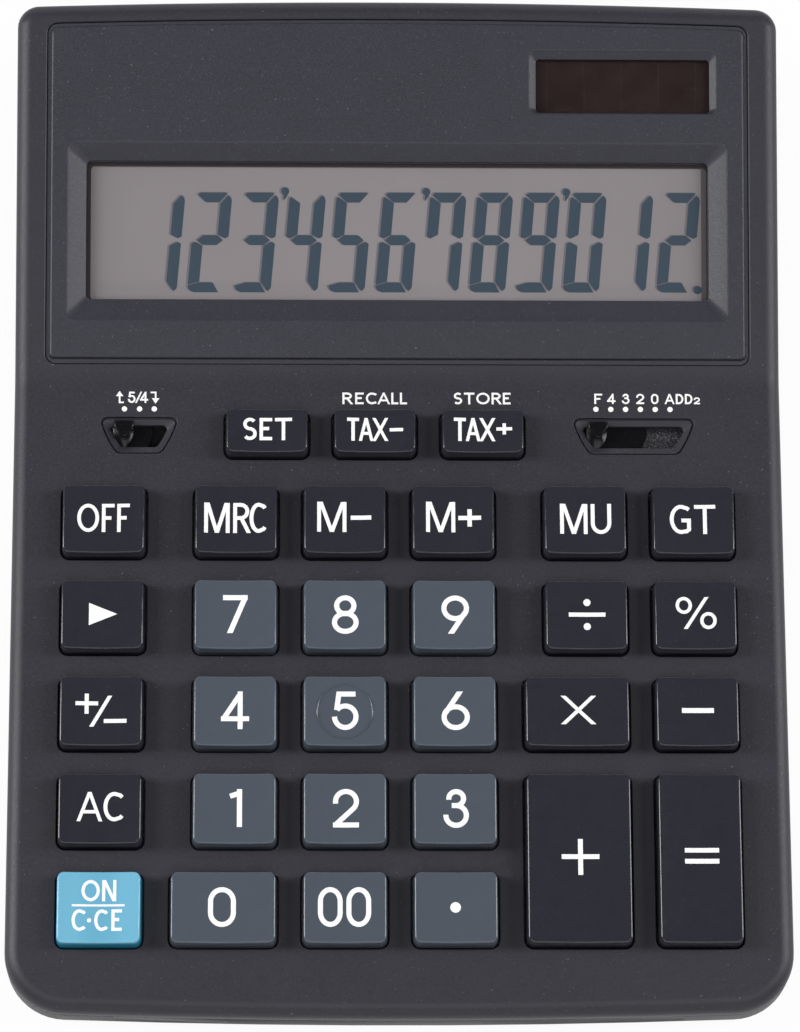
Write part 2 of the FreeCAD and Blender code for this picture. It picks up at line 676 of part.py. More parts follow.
for name, (middle, travel, ahead) in switches.items():
    rim = sketchOn(deckOpenings, name.capitalize() + "Rim")
    switchOpening(rim, middle, travel, "recessFront", "recessRear", "recessFrontReach", "recessRearReach")
    foot = sketchOn(deckOpenings, name.capitalize() + "Foot", "-recessDepth")
    switchOpening(foot, middle, travel, "slotFront", "slotRear", "slotFrontReach", "slotRearReach")
    loft(deckOpenings, rim, foot)
    pad(deckOpenings, foot, "2 * roofWall", down=True)
takeAway(upperCase, deckOpenings)


# Display recess of the upper case

def panelOutline(sketch, grow):
    # rounded plate whose rear edge follows the bowed rear of the case
    half = "(panelWidth / 2 + %s)" % grow
    corner = "(panelCorner + %s)" % grow
    front = "(panelFront - %s)" % grow
    bow = "(panelBow * pow(1 - %s / %s; 2))" % (corner, half)
    shoulder = "(panelRear - panelBow + %s)" % grow
    inner = "(%s - %s)" % (half, corner)
    radius = "((%s * %s + %s * %s) / (2 * %s))" % (inner, inner, bow, bow, bow)
    rear = "(panelRear - %s + %s)" % (bow, grow)
    outline(sketch, [
        ("-" + inner, front), (inner, front, corner), (half, "%s + %s" % (front, corner)),
        (half, "%s - %s" % (shoulder, corner), corner), (inner, rear, radius), ("-" + inner, rear, corner),
        ("-" + half, "%s - %s" % (shoulder, corner)), ("-" + half, "%s + %s" % (front, corner), corner)])


recess = onCaseDisplay("PanelRecess")
panelOutline(recess, "panelGap")
seat = pocket(upperCase, recess, "panelThickness")


def nearDisplay(shape, up, inside):
    # edges that lie on a plane over the display slope and inside a box round the panel
    normal = Rotation(Vector(1, 0, 0), number("displayAngle")).multVec(Vector(0, 0, 1))
    origin = Vector(0, number("creaseY"), number(creaseLevel))

    def test(edge):
        points = [edge.valueAt(edge.FirstParameter), edge.valueAt(edge.LastParameter), edge.CenterOfMass]
        if any(abs((point - origin).dot(normal) - number(up)) > 0.01 for point in points[:2]):
            return False
        return all(inside(point) for point in points)
    return test


def roundPanel(point):
    front = number("creaseY + panelFront - 2")
    rear = number("creaseY + (panelRear + 1) * cos(displayAngle)")
    return abs(point.x) < number("panelWidth / 2 + 1") and front < point.y < rear


dress(upperCase, "Chamfer", seat, nearDisplay(seat, "0", roundPanel), "panelChamfer", "Size")

surroundWidth = "(screenWidth + 2 * surroundWall)"
surroundHeight = "(screenHeight + 2 * surroundWall)"
solarWindowWidth = "(solarOpeningWidth + 2 * solarMargin)"
solarWindowHeight = "(solarOpeningHeight + 2 * solarMargin)"
solarOpeningAlong = "(solarAlong + solarOpeningShift)"
openings = onCaseDisplay("DisplayOpenings")
rectangle(openings, surroundWidth + " + 2 * surroundGap", surroundHeight + " + 2 * surroundGap",
          "0", "screenAlong")
rectangle(openings, solarWindowWidth + " + 2 * solarWindowGap", solarWindowHeight + " + 2 * solarWindowGap",
          "solarX", solarOpeningAlong)
pocket(upperCase, openings, "roofWall + topEdgeRadius")


# Display panel, windows and screen

panel = displayBody("display_panel")
plate = sketchOn(panel, "PanelPlate", "-panelThickness")
panelOutline(plate, "0")
plateFeature = pad(panel, plate, "panelThickness")


def panelTop(edge):
    points = [edge.valueAt(edge.FirstParameter), edge.valueAt(edge.LastParameter)]
    return all(abs(point.z) < 1e-6 for point in points)


dress(panel, "Chamfer", plateFeature, panelTop, "panelChamfer", "Size")
surround = sketchOn(panel, "Surround", "-surroundDepth")
rectangle(surround, surroundWidth, surroundHeight, "0", "screenAlong")
pad(panel, surround, "surroundDepth - panelThickness / 2")
rim = sketchOn(panel, "ScreenRim")
rectangle(rim, "screenWidth", "screenHeight", "0", "screenAlong")
foot = sketchOn(panel, "ScreenFoot", "-bevelDepth")
rectangle(foot, "openingWidth", "openingHeight", "0", "openingAlong")
loft(panel, rim, foot, cut=True)
through = sketchOn(panel, "ScreenOpening")
rectangle(through, "openingWidth", "openingHeight", "0", "openingAlong")
pocket(panel, through, "surroundDepth + 1")
rim = sketchOn(panel, "SolarRim")
rectangle(rim, "solarWidth", "solarHeight", "solarX", "solarAlong")
foot = sketchOn(panel, "SolarFoot", "-solarBevelDepth")
rectangle(foot, "solarOpeningWidth", "solarOpeningHeight", "solarX", solarOpeningAlong)
loft(panel, rim, foot, cut=True)
through = sketchOn(panel, "SolarOpening")
rectangle(through, "solarOpeningWidth", "solarOpeningHeight", "solarX", solarOpeningAlong)
pocket(panel, through, "panelThickness + 1")


def displayPlate(name, top, thickness, width, height, x="0", along="openingAlong"):
    # a flat plate under the display slope
    body = displayBody(name)
    sketch = sketchOn(body, name + "Outline", "-(%s)" % top)
    rectangle(sketch, width, height, x, along)
    pad(body, sketch, thickness, down=True)
    return body


lipTop = "(surroundDepth + windowThickness)"
glassTop = "(%s + frameLip)" % lipTop
backingTop = "(%s + glassThickness)" % glassTop
frameBottom = "(%s + backingThickness)" % backingTop
displayPlate("display_window", "surroundDepth", "windowThickness",
             "openingWidth + 2 * windowMargin", "openingHeight + 2 * windowMargin")
displayPlate("lcd_glass", glassTop, "glassThickness", "glassWidth", "glassHeight")
displayPlate("lcd_backing", backingTop, "backingThickness", "glassWidth", "glassHeight")
displayPlate("solar_window", "panelThickness", "windowThickness", solarWindowWidth, solarWindowHeight,
             "solarX", solarOpeningAlong)
displayPlate("solar_cell", "panelThickness + windowThickness", "solarCellThickness",
             solarWindowWidth + " - 2 * solarCellInset", solarWindowHeight + " - 2 * solarCellInset",
             "solarX", solarOpeningAlong)

frameWidth = "(%s + 2 * surroundGap + 2 * frameWall)" % surroundWidth
frameHeight = "(%s + 2 * surroundGap + 2 * frameWall)" % surroundHeight
frame = displayBody("lcd_frame")
sketch = sketchOn(frame, "FrameOutline", "-roofWall")
rectangle(sketch, frameWidth, frameHeight, "0", "screenAlong")
pad(frame, sketch, frameBottom + " - roofWall", down=True)
sketch = sketchOn(frame, "SurroundSeat", "-roofWall")
rectangle(sketch, surroundWidth + " + 2 * surroundGap", surroundHeight + " + 2 * surroundGap",
          "0", "screenAlong")
pocket(frame, sketch, lipTop + " - roofWall")
sketch = sketchOn(frame, "LipOpening", "-roofWall")
rectangle(sketch, "openingWidth + 2 * frameLipMargin", "openingHeight + 2 * frameLipMargin",
          "0", "openingAlong")
pocket(frame, sketch, frameBottom)
sketch = sketchOn(frame, "GlassSeat", "-" + frameBottom)
rectangle(sketch, "glassWidth + 2 * glassGap", "glassHeight + 2 * glassGap", "0", "openingAlong")
pocket(frame, sketch, "glassThickness + backingThickness", up=True)


# Keys: a leaning block on a straight skirt, dished across its top, hollow round a stem, with two lips

skirt = "(roofWall + lipClearance + lipThickness)"
keyForms = {}


def keyForm(width, length):
    # one form for each size of key, with its origin on the deck in the middle of the key
    if (width, length) in keyForms:
        return keyForms[width, length]
    form = newBody("key_form_%d" % (len(keyForms) + 1), kept=False)
    keyForms[width, length] = form
    title = form.Name.title().replace("_", "")
    topWidth = "(%s - 2 * keyRise * tan(sideDraft))" % width
    plan = sketchOn(form, title + "Plan")
    rectangle(plan, width, length, cut="keyCorner")
    block = pad(form, plan, "keyRise")
    block = lean(form, block, lambda normal: abs(normal.x) > 0.5, "sideDraft")
    block = lean(form, block, lambda normal: normal.y < -0.9, "frontDraft")
    block = lean(form, block, lambda normal: normal.y > 0.9, "rearDraft")
    pad(form, plan, skirt, down=True)
    dish = sketchOn(form, title + "Dish", role="XZ_Plane")
    reach = "(%s / 2 + keyGap)" % topWidth
    dishRadius = "(%s * %s + dishDepth * dishDepth) / (2 * dishDepth)" % (reach, reach)
    outline(dish, [("-" + reach, "keyRise", dishRadius), (reach, "keyRise"), (reach, "keyRise + 1"),
                   ("-" + reach, "keyRise + 1")])
    pocket(form, dish, "2 * (%s)" % length, both=True)
    lips = sketchOn(form, title + "Lips", "-" + skirt)
    rectangle(lips, width + " + 2 * lipReach", "lipLength")
    pad(form, lips, "lipThickness")
    inside = sketchOn(form, title + "Inside", "-" + skirt)
    rectangle(inside, width + " - 2 * keyShell", length + " - 2 * keyShell")
    rectangle(inside, "stemWidth", "stemWidth")
    pocket(form, inside, skirt + " + keyRise - dishDepth - keyRoof", up=True).Refine = True
    return form


for name, column, row in keyTable:
    x, along, width, length = keyCell(name, column, row)
    key = deckBody(name, x, along)
    key.newObject("PartDesign::FeatureBase", name + "_form").BaseFeature = keyForm(width, length)


# Rubber keypad and main board, parallel to the deck

keypad = deckBody("rubber_keypad")
sheetSketch = sketchOn(keypad, "KeypadSheet", "-" + keypadTop)
tongueLeft = "(%s - keypadTongueSide)" % columns["G"]
tongueRight = "(%s + keypadTongueSide)" % columns["I"]
outline(sheetSketch, [
    ("-keypadWidth / 2", "keypadFront"), ("keypadWidth / 2", "keypadFront"),
    ("keypadWidth / 2", "keypadRear"), (tongueRight, "keypadRear"),
    (tongueRight, "keypadTongueRear"), (tongueLeft, "keypadTongueRear"),
    (tongueLeft, "keypadRear"), ("-keypadWidth / 2", "keypadRear")])
for x, along in boardPosts:
    rectangle(sheetSketch, "boardPost + 2 * boardPostGap", "boardPost + 2 * boardPostGap", x, along)
pad(keypad, sheetSketch, "keypadThickness", down=True)
for row in range(len(rows)):
    domes = sketchOn(keypad, "DomeRow%d" % row, "-%s - keypadThickness / 2" % keypadTop)
    for name, column, keyRow in keyTable:
        if keyRow == row:
            x, along, width, length = keyCell(name, column, keyRow)
            rectangle(domes, "domeWidth", "domeWidth", x, along)
    pad(keypad, domes, "%s + keypadThickness / 2 - %s - domeGap" % (keypadTop, skirt), taper="-domeTaper")

board = deckBody("main_board")
sketch = sketchOn(board, "BoardOutline", "-" + boardTop)
rectangle(sketch, "boardWidth", "boardRear - boardFront", "0", "(boardRear + boardFront) / 2")
for x, along in boardPosts:
    rectangle(sketch, "stakeWidth + 2 * stakeGap", "stakeWidth + 2 * stakeGap", x, along)
pad(board, sketch, "boardThickness", down=True)

processor = deckBody("processor_cover", "0", "processorAlong")
sketch = sketchOn(processor, "ProcessorOutline", "-" + boardUnder)
rectangle(sketch, "processorWidth", "processorWidth", cut="processorCorner")
pad(processor, sketch, "processorHeight", down=True)


def screwSet(name, body, places, head, headHeight, shank, length, seatUp):
    # pan head screws that point up, their heads under the seat
    heads = sketchOn(body, name + "Heads", seatUp)
    shanks = sketchOn(body, name + "Shanks", seatUp)
    for x, y in places:
        circle(heads, head, x, y)
        circle(shanks, shank, x, y)
    pad(body, heads, headHeight, down=True)
    pad(body, shanks, length)


# Slide switch parts: knob with its plate, sliding contact, base on the board

slideTop = "(roofWall + slideClearance)"
slideMiddle = "((slotFront + slotRear) / 2)"


def knobOutline(sketch, half, rear, shoulder, tip):
    outline(sketch, [
        ("-knobTipHalf", tip), ("knobTipHalf", tip), (half, shoulder), (half, rear), ("-" + half, rear),
        ("-" + half, shoulder)])


for name, (middle, travel, ahead) in switches.items():
    start = "(%s - %s / 2)" % (middle, travel)
    knob = deckBody(name + "_knob", start)
    plate = sketchOn(knob, "SlidePlate", "-" + slideTop)
    rectangle(plate, "plateBehind + " + ahead, "slidePlateWidth",
              "(%s - plateBehind) / 2" % ahead, slideMiddle)
    pad(knob, plate, "slidePlateThickness", down=True)
    neck = sketchOn(knob, "Neck", "-" + slideTop)
    knobOutline(neck, "neckHalfWidth", "neckRear", "neckShoulder", "neckTip")
    head = sketchOn(knob, "Head", "knobRise")
    knobOutline(head, "knobHalfWidth", "knobRear", "knobShoulder", "knobTip")
    loft(knob, neck, head)

    baseTop = slideTop
    baseLength = "(plateBehind + %s + %s + 2 * slideClearance + 2 * railWall)" % (ahead, travel)
    baseMiddle = "((%s + %s - plateBehind) / 2)" % (ahead, travel)
    base = deckBody(name + "_switch_base", start)
    sketch = sketchOn(base, "BaseOutline", "-" + boardTop)
    rectangle(sketch, baseLength, "slidePlateWidth + 2 * slideClearance + 2 * railWall",
              baseMiddle, slideMiddle)
    pad(base, sketch, "%s - %s" % (boardTop, baseTop))
    sketch = sketchOn(base, "Rails", "-" + baseTop)
    rectangle(sketch, baseLength + " - 2 * railWall", "slidePlateWidth + 2 * slideClearance",
              baseMiddle, slideMiddle)
    pocket(base, sketch, "%s - %s - baseFloor" % (boardTop, baseTop))

    wiper = deckBody(name + "_wiper", start)
    leaf = sketchOn(wiper, "WiperSide", "-" + slideMiddle, role="XZ_Plane")
    upperZ = "(-%s - slidePlateThickness)" % slideTop
    lowerZ = "(-%s + baseFloor + wiperGap)" % boardTop
    outline(leaf, [
        ("-wiperLength / 2", upperZ + " - wiperThickness"),
        ("-wiperLength / 6", upperZ + " - wiperThickness"),
        ("0", lowerZ), ("wiperLength / 6", upperZ + " - wiperThickness"),
        ("wiperLength / 2", upperZ + " - wiperThickness"), ("wiperLength / 2", upperZ),
        ("wiperLength / 6", upperZ), ("0", lowerZ + " + wiperThickness * 1.5"), ("-wiperLength / 6", upperZ),
        ("-wiperLength / 2", upperZ)])
    pad(wiper, leaf, "wiperWidth", both=True)


# Lower case: tray with posts, tongues, foot seats and the battery block

lowerCase = newBody("lower_case")
sketch = sketchOn(lowerCase, "TrayPlan", "footRise")
planOutline(sketch, "0")
tray = pad(lowerCase, sketch, "partingHeight - footRise")
tray = roundPlanCorners(lowerCase, tray, "0")
dress(lowerCase, "Chamfer", tray, lambda edge: edge.BoundBox.ZMax < number("footRise + 0.001"),
      "bottomChamfer", "Size")
trayCore = newBody("tray_core", kept=False)
sketch = sketchOn(trayCore, "TrayCorePlan", "footRise + floorWall")
planOutline(sketch, "caseWall")
roundPlanCorners(trayCore, pad(trayCore, sketch, "caseDepth"), "caseWall")
takeAway(lowerCase, trayCore)

floorTop = "(footRise + floorWall)"
sideFace = "(caseWidth / 2 - caseWall - tongueGap)"
footings = sketchOn(lowerCase, "TongueFeet", floorTop)
tongues = sketchOn(lowerCase, "Tongues", floorTop)
spans = [("sideTongueFront", "sideTongueMiddle"), ("rearTongueFront", "rearTongueRear")]
for side in (-1, 1):
    for sketch, reach, bow in ((footings, "(tongueGap + caseWall / 2)", "frontBow"), (tongues, "0", "0")):
        thickness = "(tongueThickness + %s)" % reach
        for near, far in spans:
            rectangle(sketch, thickness, "%s - (%s)" % (far, near),
                      "%d * (%s + (%s - tongueThickness) / 2)" % (side, sideFace, reach),
                      "(%s + %s) / 2" % (near, far))
        rectangle(sketch, "crossTongueLength", "(%s + %s)" % (thickness, bow), "0",
                  "%d * (%s + (%s - tongueThickness + %s) / 2)" % (side, crossFace, reach, bow))
pad(lowerCase, footings, "partingHeight - " + floorTop)
pad(lowerCase, tongues, "partingHeight + tongueHeight - " + floorTop)
catches = sketchOn(lowerCase, "Catches", catchBottom)
frontCatches(catches, "0")
pad(lowerCase, catches, "catchHeight")

posts = sketchOn(lowerCase, "Posts", floorTop + " - floorWall / 2")
wells = sketchOn(lowerCase, "Wells", "footRise")
shankHoles = sketchOn(lowerCase, "ShankHoles", "footRise")
for x, y in screwPlaces:
    rectangle(posts, "postWidth", "postWidth", x, y)
    circle(wells, "wellDiameter", x, y)
    circle(shankHoles, "screwShank + screwPlay", x, y)
pad(lowerCase, posts, "postTop - %s + floorWall / 2" % floorTop)
footPlaces = [(sideX + "footX", sideY + "footY") for sideX in ("-", "") for sideY in ("-", "")]
seats = sketchOn(lowerCase, "FootSeats", "footRise")
for x, y in footPlaces:
    rectangle(seats, "footLength + 2 * footGap", "footWidth + 2 * footGap", x, y)

block = sketchOn(lowerCase, "BatteryBlock", floorTop + " - floorWall / 2")
rectangle(block, "doorLength + 2 * blockMargin", "doorWidth + 2 * blockMargin", "doorX", "doorY")
pad(lowerCase, block, "blockTop - %s + floorWall / 2" % floorTop)
pocket(lowerCase, wells, "screwSink", up=True)
pocket(lowerCase, shankHoles, "blockTop", up=True)
pocket(lowerCase, seats, "footSeat", up=True)

doorTop = "(footRise + doorRecess)"
cellX = "(doorX + cellShift)"
cellBottom = "(%s + doorPad)" % doorTop
cellTop = "(%s + cellHeight)" % cellBottom
cupTop = "(%s + contactThickness)" % cellTop
doorScrewX = "(doorX + doorScrewShift)"
sketch = sketchOn(lowerCase, "DoorRecess", "footRise")
rectangle(sketch, "doorLength + 2 * doorGap", "doorWidth + 2 * doorGap", "doorX", "doorY")
pocket(lowerCase, sketch, "doorRecess", up=True)
sketch = sketchOn(lowerCase, "CellCup", "footRise")
circle(sketch, "cellDiameter + cellPlay", cellX, "doorY")
pocket(lowerCase, sketch, cupTop + " - footRise", up=True)
negativeX = "(%s + contactShift)" % cellX
positiveX = "(%s - contactShift)" % cellX
positiveY = "(doorY + cellDiameter / 2 + contactThickness)"
sketch = sketchOn(lowerCase, "ContactSlots", doorTop)
rectangle(sketch, "contactWidth + contactPlay", "contactThickness + contactPlay", negativeX, "doorY")
rectangle(sketch, "contactWidth + contactPlay", "contactThickness + 2 * contactPlay", positiveX, positiveY)
pocket(lowerCase, sketch, "blockTop", up=True)
sketch = sketchOn(lowerCase, "DoorPilot", "footRise")
circle(sketch, "doorScrewShank + screwPlay", doorScrewX, "doorY")
doorSeat = "(%s - doorThickness + doorScrewHeadHeight)" % doorTop
pocket(lowerCase, sketch, "%s + doorScrewLength + pilotSpare - footRise" % doorSeat, up=True)

screwSet("Case", newBody("case_screws"), screwPlaces, "screwHead", "screwHeadHeight", "screwShank",
         "screwLength", screwSeat)

feet = newBody("feet")
sketch = sketchOn(feet, "FeetPlan")
for x, y in footPlaces:
    rectangle(sketch, "footLength", "footWidth", x, y)
pad(feet, sketch, "footRise + footSeat")

door = newBody("battery_door")
sketch = sketchOn(door, "DoorPlan", doorTop)
rectangle(sketch, "doorLength", "doorWidth", "doorX", "doorY")
pad(door, sketch, "doorThickness", down=True)
sketch = sketchOn(door, "DoorPad", doorTop)
rectangle(sketch, "doorPadWidth", "doorPadWidth", cellX, "doorY")
pad(door, sketch, "doorPad")
sketch = sketchOn(door, "DoorWell", doorTop + " - doorThickness")
circle(sketch, "doorScrewHead + 2 * screwPlay", doorScrewX, "doorY")
pocket(door, sketch, "doorScrewHeadHeight", up=True)
sketch = sketchOn(door, "DoorHole", doorTop + " - doorThickness")
circle(sketch, "doorScrewShank + screwPlay", doorScrewX, "doorY")
pocket(door, sketch, "doorThickness + 1", up=True)
screwSet("Door", newBody("battery_door_screw"), [(doorScrewX, "doorY")], "doorScrewHead",
         "doorScrewHeadHeight", "doorScrewShank", "doorScrewLength", doorSeat)

cell = newBody("button_cell")
sketch = sketchOn(cell, "CellPlan", cellBottom)
circle(sketch, "cellDiameter", cellX, "doorY")
pad(cell, sketch, "cellHeight")

contact = newBody("cell_contact_negative")
sketch = sketchOn(contact, "NegativePlate", cellTop)
rectangle(sketch, "contactPlate", "contactPlate", cellX, "doorY")
pad(contact, sketch, "contactThickness")
sketch = sketchOn(contact, "NegativeTab", cellTop)
rectangle(sketch, "contactWidth", "contactThickness", negativeX, "doorY")
pad(contact, sketch, "blockTop + tabRise - " + cellTop)
contact = newBody("cell_contact_positive")
sketch = sketchOn(contact, "PositiveStrip", cellBottom)
rectangle(sketch, "contactWidth", "contactThickness", positiveX, positiveY)
pad(contact, sketch, "blockTop + tabRise - " + cellBottom)


# Flat leads: side views of bent strips, padded to their width

boardEnd = onDeck("boardLeadAlong", "-" + boardUnder)
boardEndRear = onDeck("boardLeadAlong + leadThickness", "-" + boardUnder)


def flatLead(body, name, x, width, startY, height, riser=None):
    # runs forward at a height to the underside of the board; a riser goes up to the given ends
    top = "(%s + leadThickness)" % height
    rear = riser or [("(%s)" % startY, top), ("(%s)" % startY, height)]
    sketch = sketchOn(body, name, x, role="YZ_Plane")
    outline(sketch, [(boardEnd[0], boardEnd[1]), (boardEnd[0], height)] + rear[::-1]
            + [(boardEndRear[0], top), (boardEndRear[0], boardEndRear[1])])
    pad(body, sketch, width, both=True)


leads = newBody("battery_leads")
flatLead(leads, "NegativeLead", negativeX, "leadWidth", "doorY - contactThickness / 2", "blockTop")
flatLead(leads, "PositiveLead", positiveX, "leadWidth", positiveY + " - contactThickness / 2", "blockTop")

cellUnder = "-(panelThickness + windowThickness + solarCellThickness)"
dropFront = onDisplay("solarLeadAlong", cellUnder)
dropRear = onDisplay("solarLeadAlong + leadThickness", cellUnder)
leads = newBody("solar_leads")
flatLead(leads, "SolarLead", "solarLeadX", "2 * leadWidth", "0", "solarLeadHeight",
         [(dropFront[0], "(solarLeadHeight + leadThickness)"), dropFront, dropRear,
          (dropRear[0], "solarLeadHeight")])

frameFront = "(screenAlong - %s / 2)" % frameHeight
ribbonRear = "(%s + ribbonReach)" % frameFront
ribbonUnder = "(%s + ribbonThickness)" % frameBottom
boardUp = "(-%s + ribbonThickness)" % boardTop
pastBoard = "(boardRear + ribbonThickness)"
ribbon = newBody("lcd_ribbon")
sketch = sketchOn(ribbon, "RibbonSide", role="YZ_Plane")
outline(sketch, [
    onDeck("boardRear - ribbonOnBoard", "-" + boardTop), onDeck(pastBoard, "-" + boardTop),
    onDisplay(frameFront, "-" + ribbonUnder), onDisplay(ribbonRear, "-" + ribbonUnder),
    onDisplay(ribbonRear, "-" + frameBottom), onDisplay(frameFront, "-" + frameBottom),
    onDeck(pastBoard, boardUp), onDeck("boardRear - ribbonOnBoard", boardUp)])
pad(ribbon, sketch, "ribbonWidth", both=True)


# Every object has to be sound, every cut has to take something away, then each piece is written

for piece in pieces:
    if hasattr(piece.Tip, "Refine"):
        piece.Tip.Refine = True
doc.recompute()
for item in doc.Objects:
    if "Invalid" in item.State or "Error" in item.State:
        raise RuntimeError("%s (%s) failed: %s" % (item.Name, item.Label, item.State))
for cut in cuts:
    before = cut.BaseFeature.Shape.Volume
    if cut.Shape.Volume > before - 1e-3:
        raise RuntimeError("%s takes nothing away" % cut.Name)
os.makedirs("parts", exist_ok=True)
for piece in pieces:
    shape = piece.Shape
    if shape.isNull() or not shape.isValid() or shape.Volume <= 0:
        raise RuntimeError("%s has no sound shape" % piece.Label)
    shape.exportStep("parts/%s.step" % piece.Label)
print("%d pieces written" % len(pieces))
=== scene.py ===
import json
import math

import bmesh
import bpy
import numpy as np
from mathutils import Matrix, Vector


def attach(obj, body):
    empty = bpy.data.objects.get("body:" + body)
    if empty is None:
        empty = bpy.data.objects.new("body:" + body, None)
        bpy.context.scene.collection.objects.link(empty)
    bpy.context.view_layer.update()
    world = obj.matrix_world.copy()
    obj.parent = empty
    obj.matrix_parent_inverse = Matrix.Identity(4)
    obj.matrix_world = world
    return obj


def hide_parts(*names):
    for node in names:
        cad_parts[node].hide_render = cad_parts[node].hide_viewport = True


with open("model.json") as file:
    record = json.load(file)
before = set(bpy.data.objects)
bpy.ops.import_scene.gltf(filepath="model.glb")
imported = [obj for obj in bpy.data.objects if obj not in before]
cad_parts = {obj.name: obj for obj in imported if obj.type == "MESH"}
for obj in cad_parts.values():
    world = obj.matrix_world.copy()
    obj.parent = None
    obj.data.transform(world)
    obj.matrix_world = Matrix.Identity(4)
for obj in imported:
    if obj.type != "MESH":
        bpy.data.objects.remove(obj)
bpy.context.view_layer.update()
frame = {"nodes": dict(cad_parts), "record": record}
cadNodes = frame["nodes"]
bodyOf = {node: body for body, group in frame["record"]["behaviour"]["bodies"].items() for node in group}
slotOf = {row["node"]: row["material_slot"] for row in frame["record"]["subparts"]}
mm = 0.001
print("frame loaded,", len(cadNodes), "nodes")

# The case in millimetres and degrees; foot gives the inset and height of its broken lower edge
case = {
    "width": 155, "depth": 206, "parting": 6.5, "frontHeight": 10.8, "deckAngle": 3, "displayAngle": 12.8,
    "creaseY": 26.5, "creaseRadius": 20, "frontBow": 1.6, "rearBow": 1.3, "frontCorner": 12,
    "rearCorner": 4.5, "rounding": 3, "wall": 2.2, "roof": 2.2, "lip": 0.22, "cutDepth": 6,
    "foot": ((0.28, 0), (0.07, 0.1), (0, 0.3)), "arcSteps": 32, "frontSteps": 14, "rearSteps": 9,
    "sideSteps": 24, "creaseSteps": 10, "roundSteps": 8}
deckSlope = math.radians(case["deckAngle"])
displaySlope = math.radians(case["displayAngle"])
creaseZ = case["frontHeight"] + (case["creaseY"] + case["depth"] / 2) * math.tan(deckSlope)
deckStart = np.array([0, 0, creaseZ - case["creaseY"] * math.tan(deckSlope)])
displayStart = np.array([0, case["creaseY"], creaseZ])
creaseReach = case["creaseRadius"] * math.tan((displaySlope - deckSlope) / 2)
creaseFront = case["creaseY"] - creaseReach * math.cos(deckSlope)
creaseRear = case["creaseY"] + creaseReach * math.cos(displaySlope)


class Wire:
    # a socket that takes part in Python expressions
    def __init__(self, finish, socket):
        self.finish = finish
        self.socket = socket

    def maths(self, operation, *values):
        return self.finish.node("ShaderNodeMath", {"operation": operation}, dict(enumerate(values)))["Value"]


def overload(name, operation):
    # an operator or function of Wire; an operator's reflected form has the number on its left
    setattr(Wire, name, lambda wire, *others: wire.maths(operation, wire, *others))
    if name.startswith("__"):
        setattr(Wire, name.replace("__", "__r", 1), lambda wire, other: wire.maths(operation, other, wire))


for name, operation in {
        "__add__": "ADD", "__sub__": "SUBTRACT", "__mul__": "MULTIPLY", "__truediv__": "DIVIDE",
        "power": "POWER", "most": "MAXIMUM", "fraction": "FRACT", "size": "ABSOLUTE"}.items():
    overload(name, operation)


class Finish:
    # one material and the nodes in it
    def __init__(self, name):
        self.material = bpy.data.materials.new(name)
        self.material.use_nodes = True
        self.tree = self.material.node_tree
        self.tree.nodes.clear()

    def node(self, kind, settings={}, values={}):
        # makes a node of any type: its settings first, then the values or links of its sockets. Gives its
        # outputs by number and by name
        made = self.tree.nodes.new(kind)
        for setting, value in settings.items():
            setattr(made, setting, value)
        for key, value in values.items():
            socket = made.inputs[key]
            if isinstance(value, Wire):
                self.tree.links.new(value.socket, socket)
            else:
                socket.default_value = (*value, 1) if socket.type == "RGBA" else value
        wires = [Wire(self, socket) for socket in made.outputs]
        return {**dict(enumerate(wires)), **{wire.socket.name: wire for wire in wires}}

    def place(self, stretch=(1, 1, 1)):
        # the object's own coordinates, stretched
        where = self.node("ShaderNodeTexCoord")["Object"]
        return self.node("ShaderNodeMapping", values={"Vector": where, "Scale": stretch})["Vector"]

    def noise(self, size, detail=2.0, roughness=0.5, stretch=(1, 1, 1)):
        # noise whose features are about the given size in millimetres
        return self.node("ShaderNodeTexNoise", values={
            "Vector": self.place(stretch), "Scale": 1 / (size * mm), "Detail": detail,
            "Roughness": roughness})["Fac"]

    def between(self, value, low, high, toLow=0.0, toHigh=1.0):
        # value carried from one range to another and held inside it
        return self.node("ShaderNodeMapRange", {"clamp": True}, {
            "Value": value, "From Min": low, "From Max": high, "To Min": toLow, "To Max": toHigh})["Result"]

    def stripes(self, pitch, low, high):
        # 1 along the edges of strips of that width across X and 0 inside them: how far x is from the middle
        # of its strip, |fraction of x / pitch - 1/2|, between low and high
        split = self.node("ShaderNodeSeparateXYZ", values={"Vector": self.place()})
        return self.between(((split["X"] / (pitch * mm)).fraction() - 0.5).size(), low, high)

    def colour(self, share, first, second):
        # two colours mixed by a share
        return self.node("ShaderNodeMix", {"data_type": "RGBA"}, {0: share, 6: first, 7: second})[2]

    def tone(self, driver, low, high, first, second, share=1.0):
        # from the first colour towards the second, by the share at most, as the driver goes from low to high
        return self.colour(self.between(driver, low, high, 0, share), first, second)

    def close(self, tone, driver, roughness, relief, depth, span=(0.3, 0.7), gloss=0.5, metallic=0.0):
        # the principled shader: roughness goes from one value to another over the driver's span, and the
        # relief is so many millimetres deep
        normal = self.node("ShaderNodeBump", values={"Height": relief, "Distance": depth * mm})["Normal"]
        return self.end(self.node("ShaderNodeBsdfPrincipled", values={
            "Base Color": tone, "Roughness": self.between(driver, *span, *roughness), "Metallic": metallic,
            "Specular IOR Level": gloss, "Normal": normal})["BSDF"])

    def end(self, shader):
        self.node("ShaderNodeOutputMaterial", values={"Surface": shader})
        return self.material


def linear(red, green, blue):
    # a colour read off a screen, 0 to 255, as light
    shares = np.array([red, green, blue]) / 255
    return tuple(np.where(shares <= 0.04045, shares / 12.92, ((shares + 0.055) / 1.055) ** 2.4))


def scaled(colour, factor):
    return tuple(factor * channel for channel in colour)


# Materials. Lint is the colour of dust; noise lies about 0.5, most of it within these two ranges
lint = (0.5, 0.5, 0.52)
wide, narrow = (0.3, 0.7), (0.35, 0.65)


